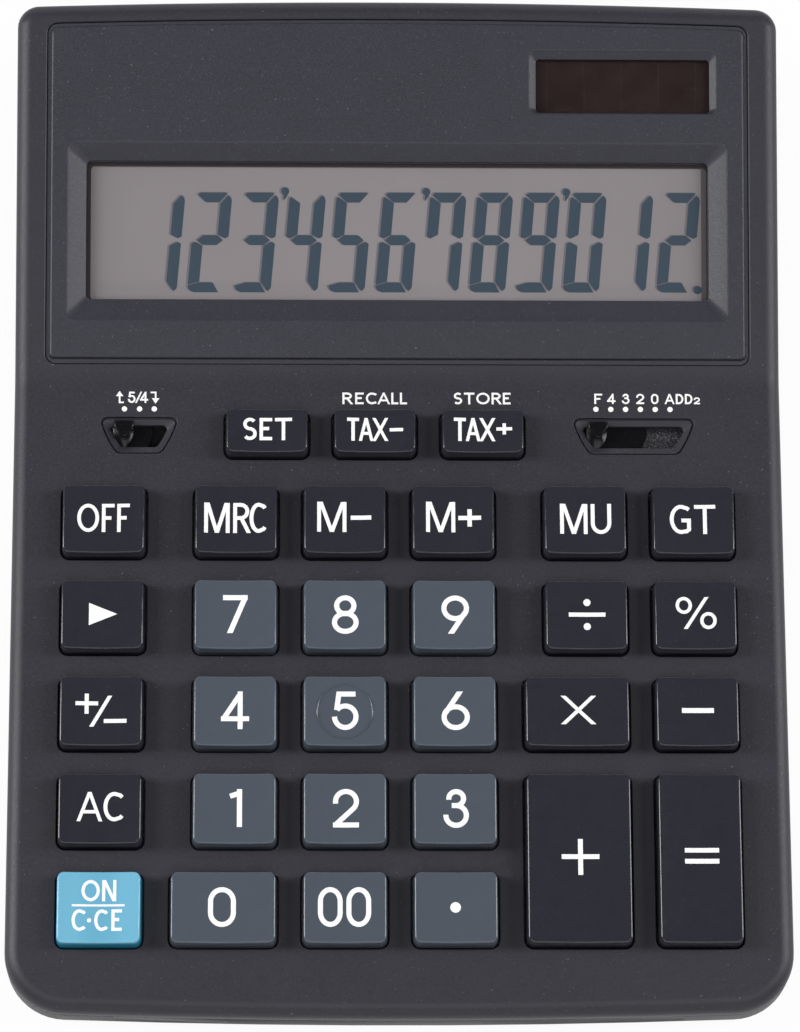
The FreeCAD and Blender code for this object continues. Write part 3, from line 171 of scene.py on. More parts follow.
def texturedPlastic(name, colour, grain=0.42, depth=0.018, roughness=0.52, specks=0.05, sparkle=1.4, dust=0):
    # moulded plastic: a fine spark-eroded grain, a slow drift of tone, scattered lighter specks and dust
    finish = Finish(name)
    fine = finish.noise(grain, 3, 0.6)
    tone = finish.tone(finish.noise(9), *narrow, scaled(colour, 0.95), scaled(colour, 1.04))
    tone = finish.tone(fine, *narrow, tone, scaled(colour, sparkle), 0.5)
    tone = finish.tone(finish.noise(0.5, 1, 0.4), 0.7, 0.77, tone, (0.45, 0.45, 0.48), specks)
    if dust:
        tone = finish.tone(finish.noise(0.4, 0), 0.84, 0.88, tone, lint, dust)
    return finish.close(tone, fine, (roughness - 0.05, roughness + 0.07), fine, depth, gloss=0.39)


def glossPlastic(name, colour, roughness=0.2, drift=0.04, dust=0.02, relief=0.012, gloss=0.5):
    # smooth moulded plastic: a faint wave in the surface, soft wear in the gloss and sparse dust
    finish = Finish(name)
    wave = finish.noise(3.5)
    tone = finish.tone(wave, *narrow, scaled(colour, 1 - drift), scaled(colour, 1 + drift))
    tone = finish.tone(finish.noise(0.35, 0), 0.75, 0.8, tone, lint, dust)
    return finish.close(tone, finish.noise(1.3, 4, 0.6), (roughness - 0.05, roughness + 0.06),
                        wave * 0.8 + finish.noise(0.16) * 0.2, relief, gloss=gloss)


def sheenPaintedCap(name, low, high, start, full, roughness):
    # a deep-coloured cap whose top is paler, from the start to the full height: the paler top is painted
    # sheen, the light that the top catches and the front does not. The height over the deck is the way up
    # less the deck's climb: (z - start of the deck) cos a - y sin a
    finish = Finish(name)
    split = finish.node("ShaderNodeSeparateXYZ", values={"Vector": finish.place()})
    height = (split["Z"] - deckStart[2] * mm) * math.cos(deckSlope) - split["Y"] * math.sin(deckSlope)
    wave = finish.noise(7)
    # painted sheen: the colour turns paler towards the top, a little unevenly
    share = finish.between(height, start * mm, full * mm) * finish.between(wave, 0.2, 0.8, 0.9, 1)
    return finish.close(finish.colour(share, low, high), finish.noise(1.3, 4, 0.6),
                        (roughness - 0.04, roughness + 0.05), wave, 0.01)


def inkAndShadePaint(name, colour, roughness=0.45):
    # printed ink, and flat painted shade on the screen: faint unevenness in tone and gloss
    finish = Finish(name)
    uneven = finish.noise(0.5, 3, 0.6)
    tone = finish.tone(uneven, *wide, scaled(colour, 0.93), colour)
    return finish.close(tone, uneven, (roughness - 0.05, roughness + 0.08), uneven, 0.003)


def rubber(name, colour):
    finish = Finish(name)
    grain = finish.noise(0.6, 4, 0.65)
    tone = finish.colour(grain, scaled(colour, 0.8), scaled(colour, 1.2))
    return finish.close(tone, grain, (0.65, 0.85), grain, 0.03)


def metal(name, colour):
    # drawn or turned metal with fine lines
    finish = Finish(name)
    lines = finish.noise(0.25, 3, 0.6, (1, 0.1, 1))
    tone = finish.colour(lines, scaled(colour, 0.85), colour)
    return finish.close(tone, lines, (0.22, 0.4), lines, 0.01, metallic=1.0)


def circuitBoard(name):
    # green lacquer over patches of copper tracks
    finish = Finish(name)
    tracks = finish.node("ShaderNodeTexBrick", values={
        "Vector": finish.place(), "Scale": 260.0, "Mortar Size": 0.02})["Fac"]
    patches = finish.between(finish.noise(4, 1, 0.4), 0.48, 0.52)
    tone = finish.colour(tracks * patches, (0.012, 0.075, 0.03), (0.03, 0.16, 0.06))
    return finish.close(tone, patches, (0.3, 0.42), patches, 0.03, (0, 1))


def screenFace(name):
    # the pale face of the screen: a slow change of tone and very fine grain
    finish = Finish(name)
    fine = finish.noise(0.22, 2, 0.6)
    tone = finish.tone(finish.noise(40, 1, 0.4), *wide, linear(141, 135, 138), linear(151, 145, 148))
    tone = finish.tone(fine, *wide, tone, linear(157, 150, 151), 0.25)
    return finish.close(tone, fine, (0.42, 0.5), fine, 0.004)


def clearWindow(name, least=0.04, most=0.9):
    # clear plastic: light goes straight through, with a reflection that grows from the least by the fifth
    # power of how far the surface turns away, the same from inside
    finish = Finish(name)
    gloss = finish.node("ShaderNodeBsdfPrincipled", values={
        "Base Color": (0.02, 0.02, 0.02),
        "Roughness": finish.between(finish.noise(6, 3, 0.6), *wide, 0.03, 0.07)})["BSDF"]
    through = finish.node("ShaderNodeBsdfTransparent", values={"Color": (0.97, 0.97, 0.97)})["BSDF"]
    turned = finish.node("ShaderNodeLayerWeight", values={"Blend": 0.5})["Facing"]
    return finish.end(finish.node("ShaderNodeMixShader", values={
        0: turned.power(5) * (most - least) + least, 1: through, 2: gloss})["Shader"])


def solarFilm(name):
    # brown-black film in strips, with faint lines between them
    finish = Finish(name)
    edge = finish.stripes(7.6, 0.485, 0.495)
    cloudy = finish.noise(5, 3, 0.6)
    tone = finish.tone(cloudy, *wide, linear(48, 30, 30), linear(53, 34, 33))
    tone = finish.colour(edge * 0.25, tone, linear(84, 66, 58))
    return finish.close(tone, cloudy, (0.3, 0.4), edge, 0.01)


def roughBase(name):
    # coarse grey speckle of the switch floor
    finish = Finish(name)
    grit = finish.noise(0.3, 2, 0.7)
    bright = finish.between(grit, 0.52, 0.72)
    tone = finish.colour(bright, linear(40, 40, 46), linear(136, 136, 144))
    return finish.close(tone, bright, (0.7, 0.45), grit, 0.06, (0, 1))


def amberFilm(name):
    # amber film with parallel tracks
    finish = Finish(name)
    track = finish.stripes(1.2, 0.2, 0.26)
    tone = finish.colour(track, (0.45, 0.25, 0.08), (0.62, 0.4, 0.2))
    return finish.close(tone, track, (0.3, 0.4), track, 0.02, (0, 1))


materials = {
    "case": texturedPlastic("charcoal_case", linear(41, 40, 47), roughness=0.47, specks=0.04, dust=0.2),
    "panel": texturedPlastic("charcoal_panel", linear(43, 43, 51), grain=0.32, depth=0.024, roughness=0.44,
                             specks=0.07, sparkle=1.75, dust=0.2),
    "key_dark": glossPlastic("black_key", linear(40, 40, 48), roughness=0.14, relief=0.006),
    "key_slate": glossPlastic("slate_key", linear(74, 81, 91), 0.17, drift=0.015, dust=0, relief=0.004),
    # the ON key's paler top colour is painted sheen
    "key_blue": sheenPaintedCap("blue_key_painted_sheen", linear(38, 132, 165), linear(112, 176, 203), 2.4, 3.7, 0.18),
    "knob": glossPlastic("black_knob", linear(15, 15, 18), dust=0.012, gloss=0.22),
    "legend": inkAndShadePaint("white_ink", (0.9, 0.9, 0.9)),
    "segment": inkAndShadePaint("screen_segment", linear(60, 78, 93), roughness=0.4),
    # the segments' shadows on the reflector, painted
    "segment_shade": inkAndShadePaint("segment_shade", linear(120, 115, 120)),
    "screen_glass": screenFace("screen_face"),
    "window": clearWindow("clear_window"),
    # dark frame whose colour is painted shade along the screen's edges
    "mask": inkAndShadePaint("screen_shade_mask", linear(48, 42, 44)),
    # painted shade at the right end of the screen
    "screen_end_painted_shade": inkAndShadePaint("screen_end_painted_shade", linear(96, 90, 94)),
    "solar": solarFilm("solar_film"),
    "switch_base": roughBase("switch_floor"),
    "inner_plastic": texturedPlastic("inner_plastic", (0.35, 0.35, 0.34), grain=0.8),
    "ribbon": amberFilm("amber_film"),
    "copper": metal("copper_leaf", (0.72, 0.4, 0.24)),
    "keypad_rubber": rubber("keypad_rubber", (0.28, 0.28, 0.3)),
    "board": circuitBoard("green_board"),
    "resin": glossPlastic("black_resin", (0.012, 0.012, 0.013)),
    "steel": metal("steel_screw", (0.62, 0.62, 0.64)),
    "foot_rubber": rubber("foot_rubber", (0.03, 0.03, 0.032)),
}
for node, piece in cadNodes.items():
    piece.data.materials.clear()
    piece.data.materials.append(materials[slotOf[node]])
    piece.data.polygons.foreach_set("use_smooth", np.zeros(len(piece.data.polygons), bool))
cadNodes["display_panel"].data.materials[0] = materials["panel"]
blackFloor = texturedPlastic("black_floor", linear(20, 20, 22), specks=0)
cadNodes["rounding_switch_base"].data.materials[0] = blackFloor
print("materials made,", len(materials))


# Meshes: a shape is its points in millimetres and its faces, lists of their numbers


def bandFaces(rows, columns):
    # quads between neighbouring rows of a grid whose rows close on themselves
    row, column = np.meshgrid(np.arange(rows - 1), np.arange(columns), indexing="ij")
    following = (column + 1) % columns
    corners = [row * columns + column, row * columns + following,
               (row + 1) * columns + following, (row + 1) * columns + column]
    return np.stack(corners, -1).reshape(-1, 4)


def ringFaces(rows, columns):
    # the same for a grid whose last row meets the first
    return bandFaces(rows + 1, columns) % (rows * columns)


def smooth(mesh, sharp):
    # smooth except over edges of more than so many degrees
    mesh.polygons.foreach_set("use_smooth", np.ones(len(mesh.polygons), bool))
    mesh.set_sharp_from_angle(angle=math.radians(sharp))


def stand(name, data):
    # puts a mesh, lamp or camera into the scene
    thing = bpy.data.objects.new(name, data)
    bpy.context.scene.collection.objects.link(thing)
    return thing


def enter(name, mesh, material, sharp):
    smooth(mesh, sharp)
    mesh.materials.append(material)
    return stand(name, mesh)


def addPiece(name, shape, body, slot, material):
    points, faces = shape
    mesh = bpy.data.meshes.new(name)
    mesh.from_pydata((np.asarray(points) * mm).tolist(), [], [list(face) for face in faces])
    piece = enter(name, mesh, material, 35)
    if body:
        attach(piece, body)
    return piece


def replaceNode(node, ending, shape):
    # a piece of the same material in the place of a node
    piece = addPiece(node + ending, shape, bodyOf[node], slotOf[node], materials[slotOf[node]])
    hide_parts(node)


def modify(piece, kind, **settings):
    modifier = piece.modifiers.new(kind.lower(), kind)
    for setting, value in settings.items():
        setattr(modifier, setting, value)


def weigh(piece):
    # large faces lead the shading at rounded edges
    modify(piece, "WEIGHTED_NORMAL", keep_sharp=True, weight=80)


def finishedCopy(node, bevel, segments=2, trim=None):
    # a node's own shape, its corners joined and trimmed, with its sharp edges broken
    shape = bmesh.new()
    shape.from_mesh(cadNodes[node].data)
    bmesh.ops.remove_doubles(shape, verts=shape.verts, dist=2e-6)
    mesh = bpy.data.meshes.new(node + "_finished")
    shape.to_mesh(mesh)
    shape.free()
    if trim:
        places = np.empty(3 * len(mesh.vertices))
        mesh.vertices.foreach_get("co", places)
        mesh.vertices.foreach_set("co", (trim(places.reshape(-1, 3) / mm) * mm).ravel())
    piece = enter(node + "_finished", mesh, materials[slotOf[node]], 30)
    modify(piece, "BEVEL", width=bevel * mm, segments=segments, limit_method="ANGLE",
           angle_limit=math.radians(30), harden_normals=True)
    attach(piece, bodyOf[node])
    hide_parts(node)


def reshape(piece, shapes, operation="DIFFERENCE"):
    # takes closed shapes out of a piece, or adds them to it, for good
    material = piece.data.materials[0]
    for shape in shapes:
        tool = addPiece("tool", shape, None, None, material)
        modify(piece, "BOOLEAN", operation=operation, solver="EXACT", object=tool)
        bpy.context.view_layer.update()
        result = bpy.data.meshes.new_from_object(piece.evaluated_get(bpy.context.evaluated_depsgraph_get()))
        piece.modifiers.clear()
        piece.data = result
        bpy.data.objects.remove(tool)
    piece.data.materials.clear()
    piece.data.materials.append(material)
    piece.data.polygons.foreach_set("material_index", np.zeros(len(piece.data.polygons), np.int32))
    smooth(piece.data, 32)


def circle(angle):
    return np.stack([np.cos(angle), np.sin(angle)], 1)


def unit(rows):
    return rows / np.maximum(np.linalg.norm(rows, axis=1, keepdims=True), 1e-9)


def dots(first, second):
    return np.einsum("ij,ij->i", first, second)


def roundedRectangle(width, length, radius, corner=6, across=1, along=1):
    # quarter circles joined by straight sides, anticlockwise from the front right;
    # gives the points and their outward directions
    places, directions = [], []
    turn = np.linspace(0, math.pi / 2, corner + 1)
    signs = ((1, -1), (1, 1), (-1, 1), (-1, -1))
    centres = [np.array([sx * (width / 2 - radius), sy * (length / 2 - radius)]) for sx, sy in signs]
    for side in range(4):
        out = circle(turn + (side - 1) * math.pi / 2)
        places.append(centres[side] + radius * out)
        directions.append(out)
        steps = across if side % 2 else along
        share = np.arange(1, steps)[:, None] / steps
        run = centres[(side + 1) % 4] - centres[side]
        places.append(places[-1][-1] + share * run)
        directions.append(np.repeat(out[-1:], steps - 1, 0))
    return np.concatenate(places), np.concatenate(directions)


def roundedCorners(corners, radii, steps=7, between=6):
    # a polygon whose corners are arcs that touch both sides, anticlockwise: each arc turns from one side's
    # outward direction to the next one's, and the straight part before it is divided too
    corners = np.asarray(corners, float)
    places, directions, ends = [], [], []
    for index, corner in enumerate(corners):
        radius = radii[index]
        before = corner - corners[index - 1]
        after = corners[(index + 1) % len(corners)] - corner
        start = math.atan2(-before[0], before[1])
        finish = math.atan2(-after[0], after[1])
        turn = (finish - start) % (2 * math.pi)
        out = np.array([math.cos(start + turn / 2), math.sin(start + turn / 2)])
        centre = corner - out * radius / math.cos(turn / 2)
        bend = circle(np.linspace(start, start + turn, steps))
        ends.append((centre + radius * bend, bend))
    for index, (bend, out) in enumerate(ends):
        last = ends[index - 1][0][-1]
        share = np.arange(1, between)[:, None] / between
        places += [last + share * (bend[0] - last), bend]
        directions += [np.repeat(out[:1], between - 1, 0), out]
    return np.concatenate(places), np.concatenate(directions)


def raised(plan, up):
    # an outline at one height, or with a height for each of its points
    return np.column_stack([plan, np.broadcast_to(up, len(plan))])


def footedFaces(rows, count):
    # the sides of a column, and its foot
    return bandFaces(rows, count).tolist() + [list(range(count))[::-1]]


def column(rows, surface=raised):
    # a closed column through outlines of equal count, each with its height, from the lowest to the highest
    points = np.concatenate([surface(plan, up) for plan, up in rows])
    count = len(rows[0][0])
    return points, footedFaces(len(rows), count) + [list(range(len(points) - count, len(points)))]


def joined(shapes):
    points, faces, start = [], [], 0
    for places, sides in shapes:
        points.append(places)
        faces += [[index + start for index in side] for side in sides]
        start += len(places)
    return np.concatenate(points), faces


def onSlope(points, start, slope):
    # x across, y up the slope and z out of it, turned about X by the slope and moved to its start
    x, y, z = np.asarray(points, float).T
    return start + np.stack([x, y * math.cos(slope) - z * math.sin(slope),
                             y * math.sin(slope) + z * math.cos(slope)], 1)


def onDeck(points):
    return onSlope(points, deckStart, deckSlope)


def deckSurface(plan, up):
    return onDeck(raised(plan, up))


def displaySurface(plan, up):
    return onSlope(raised(plan, up), displayStart, displaySlope)


# Upper case


def topAt(y):
    # height and slope of the top over y: two straight lines with a circle between them
    centreY = creaseFront - case["creaseRadius"] * math.sin(deckSlope)
    centreZ = creaseZ - creaseReach * math.sin(deckSlope) + case["creaseRadius"] * math.cos(deckSlope)
    drop = np.sqrt(np.maximum(case["creaseRadius"] ** 2 - (y - centreY) ** 2, 1))
    places = [y < creaseFront, y > creaseRear]
    slopes = [math.tan(deckSlope), math.tan(displaySlope)]
    height = np.select(places, [creaseZ + (y - case["creaseY"]) * slope for slope in slopes], centreZ - drop)
    return height, np.select(places, slopes, (y - centreY) / drop)


def bowRadius(bow):
    # the circle through the middle and the ends of a bowed edge: (half width squared + bow squared) / 2 bow
    return ((case["width"] / 2) ** 2 + bow ** 2) / (2 * bow)


def casePlan(inset):
    # the case from above: each bowed edge is an arc, each corner a circle that touches it and the side
    half, quarter = case["width"] / 2, math.pi / 2
    places, directions = [], []

    def arc(centre, radius, first, last, steps, skip=1):
        out = circle(np.linspace(first, last, steps + 1)[skip:])
        places.append(np.array(centre) + (radius - inset) * out)
        directions.append(out)

    def sideLine(sign, ys):
        places.append(np.column_stack([np.full(len(ys), sign * (half - inset)), ys]))
        directions.append(np.tile([sign, 0.0], (len(ys), 1)))

    def bowed(bow, corner):
        radius, reach = bowRadius(bow), half - corner
        rise = math.sqrt((radius - corner) ** 2 - reach ** 2)
        return radius, reach, rise, math.atan2(reach, rise)

    frontRadius, frontReach, frontRise, frontTurn = bowed(case["frontBow"], case["frontCorner"])
    rearRadius, rearReach, rearRise, rearTurn = bowed(case["rearBow"], case["rearCorner"])
    frontCentre = frontRadius - case["depth"] / 2
    rearCentre = case["depth"] / 2 - rearRadius
    frontY = frontCentre - frontRise
    rearY = rearCentre + rearRise
    side = np.concatenate([
        np.linspace(frontY, creaseFront, case["sideSteps"])[1:],
        np.linspace(creaseFront, creaseRear, case["creaseSteps"] + 1)[1:],
        np.linspace(creaseRear, rearY, case["sideSteps"])[1:-1]])
    arc((0, frontCentre), frontRadius, -quarter - frontTurn, -quarter + frontTurn, case["arcSteps"])
    arc((frontReach, frontY), case["frontCorner"], -quarter + frontTurn, 0, case["frontSteps"])
    sideLine(1, side)
    arc((rearReach, rearY), case["rearCorner"], 0, quarter - rearTurn, case["rearSteps"], 0)
    arc((0, rearCentre), rearRadius, quarter - rearTurn, quarter + rearTurn, case["arcSteps"])
    arc((-rearReach, rearY), case["rearCorner"], quarter + rearTurn, math.pi, case["rearSteps"])
    sideLine(-1, side[::-1])
    arc((-frontReach, frontY), case["frontCorner"], math.pi, 3 * quarter - frontTurn, case["frontSteps"], 0)
    return np.concatenate(places), np.concatenate(directions)


def caseBlock(inset, sink, rounding, bottom):
    # walls up from a broken lower edge, a ball rolled along the upper edge, then the deck, the crease and the
    # display. In the upright plane through each wall point the top climbs inwards by so much per millimetre;
    # the ball's centre is one radius in and stands where it also touches that line
    plan, out = casePlan(inset)
    height, slope = topAt(plan[:, 1])
    height = height - sink * np.sqrt(1 + slope ** 2)
    climb = -out[:, 1] * slope
    centreZ = height + climb * rounding - rounding * np.sqrt(1 + climb ** 2)
    last = math.pi / 2 + np.arctan(climb)
    rows = [raised(plan - out * near, bottom + up) for near, up in (case["foot"] if rounding else ((0, 0),))]
    rows.append(raised(plan, centreZ * 0.5 + bottom * 0.5))
    for share in np.linspace(0, 1, case["roundSteps"] + 1 if rounding else 1):
        angle = math.pi + share * (last - math.pi)
        inward = rounding * (1 + np.cos(angle))
        rows.append(raised(plan - out * inward[:, None], centreZ + rounding * np.sin(angle)))
    count = len(plan)
    points = np.concatenate(rows)
    faces = footedFaces(len(rows), count)
    top = np.arange(count) + (len(rows) - 1) * count
    y = plan[:, 1]
    faces.append(top[y <= creaseFront + 1e-6].tolist())
    faces.append(top[y >= creaseRear - 1e-6].tolist())
    crease = (y >= creaseFront - 1e-6) & (y <= creaseRear + 1e-6)
    right = top[crease & (plan[:, 0] > 0)]
    left = top[crease & (plan[:, 0] < 0)][::-1]
    faces += np.stack([left[:-1], right[:-1], right[1:], left[1:]], 1).tolist()
    return points, faces


keySizes = {
    "width": 16.8, "length": 14.6, "smallLength": 9.6, "wide": 4.2, "tall": 19.6, "gap": 0.28, "corner": 1.6,
    "headCorner": 1.25, "rise": 4.2, "skirt": 3.2, "legendShift": 0.2, "frontLean": 5, "rearLean": 4,
    "sideLean": 4.5, "dish": 0.7, "edge": 0.34, "shrinks": (0.97, 0.86, 0.7, 0.5, 0.28, 0.1)}
columnX = {"A": -58.95, "B": -32.55, "C": -10.85, "D": 10.85, "E": 37.25, "F": 58.95,
           "G": -26.45, "H": -4.75, "I": 16.95}
rowY = [-82.3, -62.7, -43.1, -23.5, -3.9, 14.5]
keyPlaces = {
    "key_set": "G5", "key_tax_minus": "H5", "key_tax_plus": "I5",
    "key_off": "A4", "key_mrc": "B4", "key_m_minus": "C4", "key_m_plus": "D4", "key_mu": "E4", "key_gt": "F4",
    "key_shift": "A3", "key_7": "B3", "key_8": "C3", "key_9": "D3", "key_divide": "E3", "key_percent": "F3",
    "key_sign": "A2", "key_4": "B2", "key_5": "C2", "key_6": "D2", "key_multiply": "E2", "key_minus": "F2",
    "key_ac": "A1", "key_1": "B1", "key_2": "C1", "key_3": "D1",
    "key_on_clear": "A0", "key_0": "B0", "key_00": "C0", "key_point": "D0", "key_plus": "E0",
    "key_equals": "F0"}
wideKeys = ("key_0", "key_multiply", "key_plus")
tallKeys = ("key_plus", "key_equals")


def keyCell(name):
    # centre across and along the deck, width and length at deck level
    column, row = keyPlaces[name]
    x, y = columnX[column], rowY[int(row)]
    width = keySizes["width"]
    length = keySizes["smallLength"] if row == "5" else keySizes["length"]
    if name in wideKeys:
        width += keySizes["wide"]
        x -= keySizes["wide"] / 2
    if name in tallKeys:
        length += keySizes["tall"]
        y += keySizes["tall"] / 2
    return x, y, width, length


def opening(outline, out, lip, depth, surface):
    # the inside of an opening: straight from below, then a quarter round that opens at the surface
    rows = [(outline, -depth)]
    for angle in np.radians([0, 25, 50, 75]):
        rows.append((outline + out * lip * (1 - math.cos(angle)), -lip + lip * math.sin(angle)))
    rows.append((rows[-1][0] + out * 0.3, 1))
    return column(rows, surface)


switches = {
    "rounding": {"x": -52.25, "reach": 3.0}, "decimal": {"x": 47.6, "reach": 7.5},
    "outer": {"front": 10.65, "rear": 18.3, "frontReach": 1.5, "rearReach": 5.0, "bulge": 0.45,
              "corners": (1.6, 1.6, 1.0, 1.0)},
    "slot": {"front": 12.3, "rear": 16.8, "frontReach": 0.6, "rearReach": 2.95, "bulge": 0.2,
             "corners": (0.9, 0.9, 0.7, 0.7)},
    "depth": 0.95, "lip": 0.24, "groove": 0.78, "top": ((1, 0.01), (1.4, 1)),
    "floor": ((0, -0.2), (0.06, -0.06), (0.2, 0.02)), "rim": ((0, -1), (0.12, -0.5), (0.5, -0.13)),
    "ring": ((-0.42, 0.32), (-0.34, 0.27), (-0.28, 0.1), (-0.22, 0), (-0.04, 0), (0, 0.08))}


def switchOutline(name, kind):
    # a trapezoid, wider at the rear; its slanting ends bulge as a parabola over their length
    one, form = switches[name], switches[kind]
    front, rear = form["front"], form["rear"]
    near, far = one["reach"] + form["frontReach"], one["reach"] + form["rearReach"]
    plan, out = roundedCorners([(-near, front), (near, front), (far, rear), (-far, rear)], form["corners"])
    share = np.clip((plan[:, 1] - front) / (rear - front), 0, 1)
    plan[:, 0] += np.sign(plan[:, 0]) * form["bulge"] * 4 * share * (1 - share) * (np.abs(out[:, 0]) > 0.2)
    return plan + (one["x"], 0), out


def switchOpening(name):
    # upwards: the slot, the floor round it, a sloping ring with a fine groove round it, and a rim that is
    # round at the surface. Each row grows its outline by some way and stands at a height
    outer, slot = switchOutline(name, "outer"), switchOutline(name, "slot")
    lip = switches["lip"]
    rows = [(slot, 0, -case["cutDepth"])]
    rows += [(slot, grow, up - switches["depth"]) for grow, up in switches["floor"]]
    rows += [(outer, grow, up - switches["groove"]) for grow, up in switches["ring"]]
    rows += [(outer, grow * lip, up * lip) for grow, up in switches["rim"]]
    rows += [(outer, grow * lip, up) for grow, up in switches["top"]]
    return column([(plan + out * grow, up) for (plan, out), grow, up in rows], deckSurface)


# Blocks of the panel: width, length and middle across and along; in an opening the third value is a radius
panel = {
    "width": 142.4, "front": 2.95, "rear": 73.6, "bow": 1.1, "corner": 2, "thickness": 1.3, "gap": 0.1,
    "lip": 0.36, "border": 0.74, "frontBorder": 0.38, "borderDrop": 0.42, "notch": 0.62, "wellCorner": 0.6,
    "wells": ((137.0, 39.3, 0, 30.05), (37.8, 13.4, 45.8, 60.2)), "wellDepth": 8,
    "surroundWall": (136.4, 38.7, 0, 30.05), "surroundDepth": 2.8,
    "openings": ({"x": 0, "outer": (134, 36.3, 1.9, 30.05), "inner": (126.5, 28.3, 1.1, 30.45),
                  "depth": 2, "edge": 0.3},
                 {"x": 45.8, "outer": (38, 12.9, 1.5, 60.9), "inner": (35.4, 11, 0.8, 60.2),
                  "depth": 0.9, "edge": 0.35})}


def panelOutline(grow):
    # a rounded rectangle whose rear edge falls off towards its ends with the square of x
    width = panel["width"] + 2 * grow
    length = panel["rear"] - panel["front"] + 2 * grow
    plan, out = roundedRectangle(width, length, panel["corner"] + grow, 8, 24, 1)
    plan[:, 1] += (panel["rear"] + panel["front"]) / 2
    plan[:, 1] -= panel["bow"] * (plan[:, 0] / width * 2) ** 2 * (plan[:, 1] > panel["front"] + length / 2)
    return plan, out


def panelBlock(size, low, high):
    # a block of rectangular plan between two levels of the display's slope
    width, length, x, y = size
    plan = roundedRectangle(width, length, panel["wellCorner"])[0] + (x, y)
    return column([(plan, low), (plan, high)], displaySurface)


def upperCaseCutters():
    shapes = []
    for name in keyPlaces:
        x, y, width, length = keyCell(name)
        gap = keySizes["gap"]
        plan, out = roundedRectangle(width + 2 * gap, length + 2 * gap, keySizes["corner"] + gap)
        shapes.append(opening(plan + (x, y), out, case["lip"], case["cutDepth"], deckSurface))
    shapes += [switchOpening(name) for name in ("rounding", "decimal")]
    shapes.append(opening(*panelOutline(panel["gap"]), panel["lip"], panel["thickness"], displaySurface))
    wells = [panelBlock(size, -panel["wellDepth"], 0.5 - panel["thickness"]) for size in panel["wells"]]
    return [joined(shapes), joined(wells)]


def bevelledOpening(values):
    # from below: straight up to the foot of the bevel, the bevel, and its rounded outer edge
    outlines = []
    edge, depth = values["edge"], values["depth"]
    for grow, name in ((0, "inner"), (0, "outer"), (edge * 0.25, "outer"), (edge, "outer")):
        width, length, radius, along = values[name]
        plan, _ = roundedRectangle(width + 2 * grow, length + 2 * grow, radius + grow)
        outlines.append(plan + (values["x"], along))
    inner, outer, near, far = outlines

    def bevel(share):
        return inner + (outer - inner) * share

    return column([
        (inner, -case["cutDepth"]), (inner, -depth - 0.12), (bevel(0.015), -depth - 0.02),
        *((bevel(share), -depth * (1 - share)) for share in (0.04, 0.5, 0.93)),
        (outer, -edge * 0.32), (near, -edge * 0.12), (far, 0.004), (far, 1)], displaySurface)


def panelPlate():
    # a plate that rises from a flat channel along its border, which is wider and deeper at the front
    plan, out = panelOutline(0)
    border, drop, notch = panel["border"], panel["borderDrop"], panel["notch"]
    front = np.clip(-out[:, 1], 0, 1) ** 2
    wider = panel["frontBorder"] * front[:, None]
    return column([(plan - out * (inset + wider * (inset > border / 2)), height - deeper * front)
                   for inset, height, deeper in (
        (0, -panel["thickness"], 0), (0, -drop - 0.1, 0), (0.05, -drop - 0.02, 0), (0.12, -drop, 0),
        (border - 0.31, -drop, 0), (border - 0.26, -drop - 0.03, notch), (border - 0.04, -drop - 0.02, notch),
        (border, -drop + 0.04, 0.2), (border + 0.03, -0.27, 0), (border + 0.09, -0.19, 0),
        (border + 0.3, -0.03, 0), (border + 0.42, 0, 0))], displaySurface)


upperCase = addPiece("upper_case_shell", caseBlock(0, 0, case["rounding"], case["parting"]),
                     bodyOf["upper_case"], "case", materials["case"])
reshape(upperCase, [caseBlock(case["wall"], case["roof"], 0, case["parting"] - 1), *upperCaseCutters()])
weigh(upperCase)
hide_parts("upper_case")

panelPiece = addPiece("display_panel_plate", panelPlate(), bodyOf["display_panel"], "case",
                      materials["panel"])
surround = panelBlock(panel["surroundWall"], -panel["surroundDepth"], -panel["thickness"] / 2)
reshape(panelPiece, [surround], "UNION")
reshape(panelPiece, [bevelledOpening(values) for values in panel["openings"]])
weigh(panelPiece)
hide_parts("display_panel")
print("upper case made,", len(upperCase.data.polygons), "faces")


# Keys


def keyTop(x, width):
    # height and slope of a key's top over the deck: a hollow that is deepest in the middle and falls off with
    # the square of x, rise - dish (1 - (x / reach) squared)
    reach = width / 2 - keySizes["rise"] * math.tan(math.radians(keySizes["sideLean"])) + keySizes["gap"]
    return keySizes["rise"] - keySizes["dish"] * (1 - (x / reach) ** 2), 2 * keySizes["dish"] * x / reach ** 2


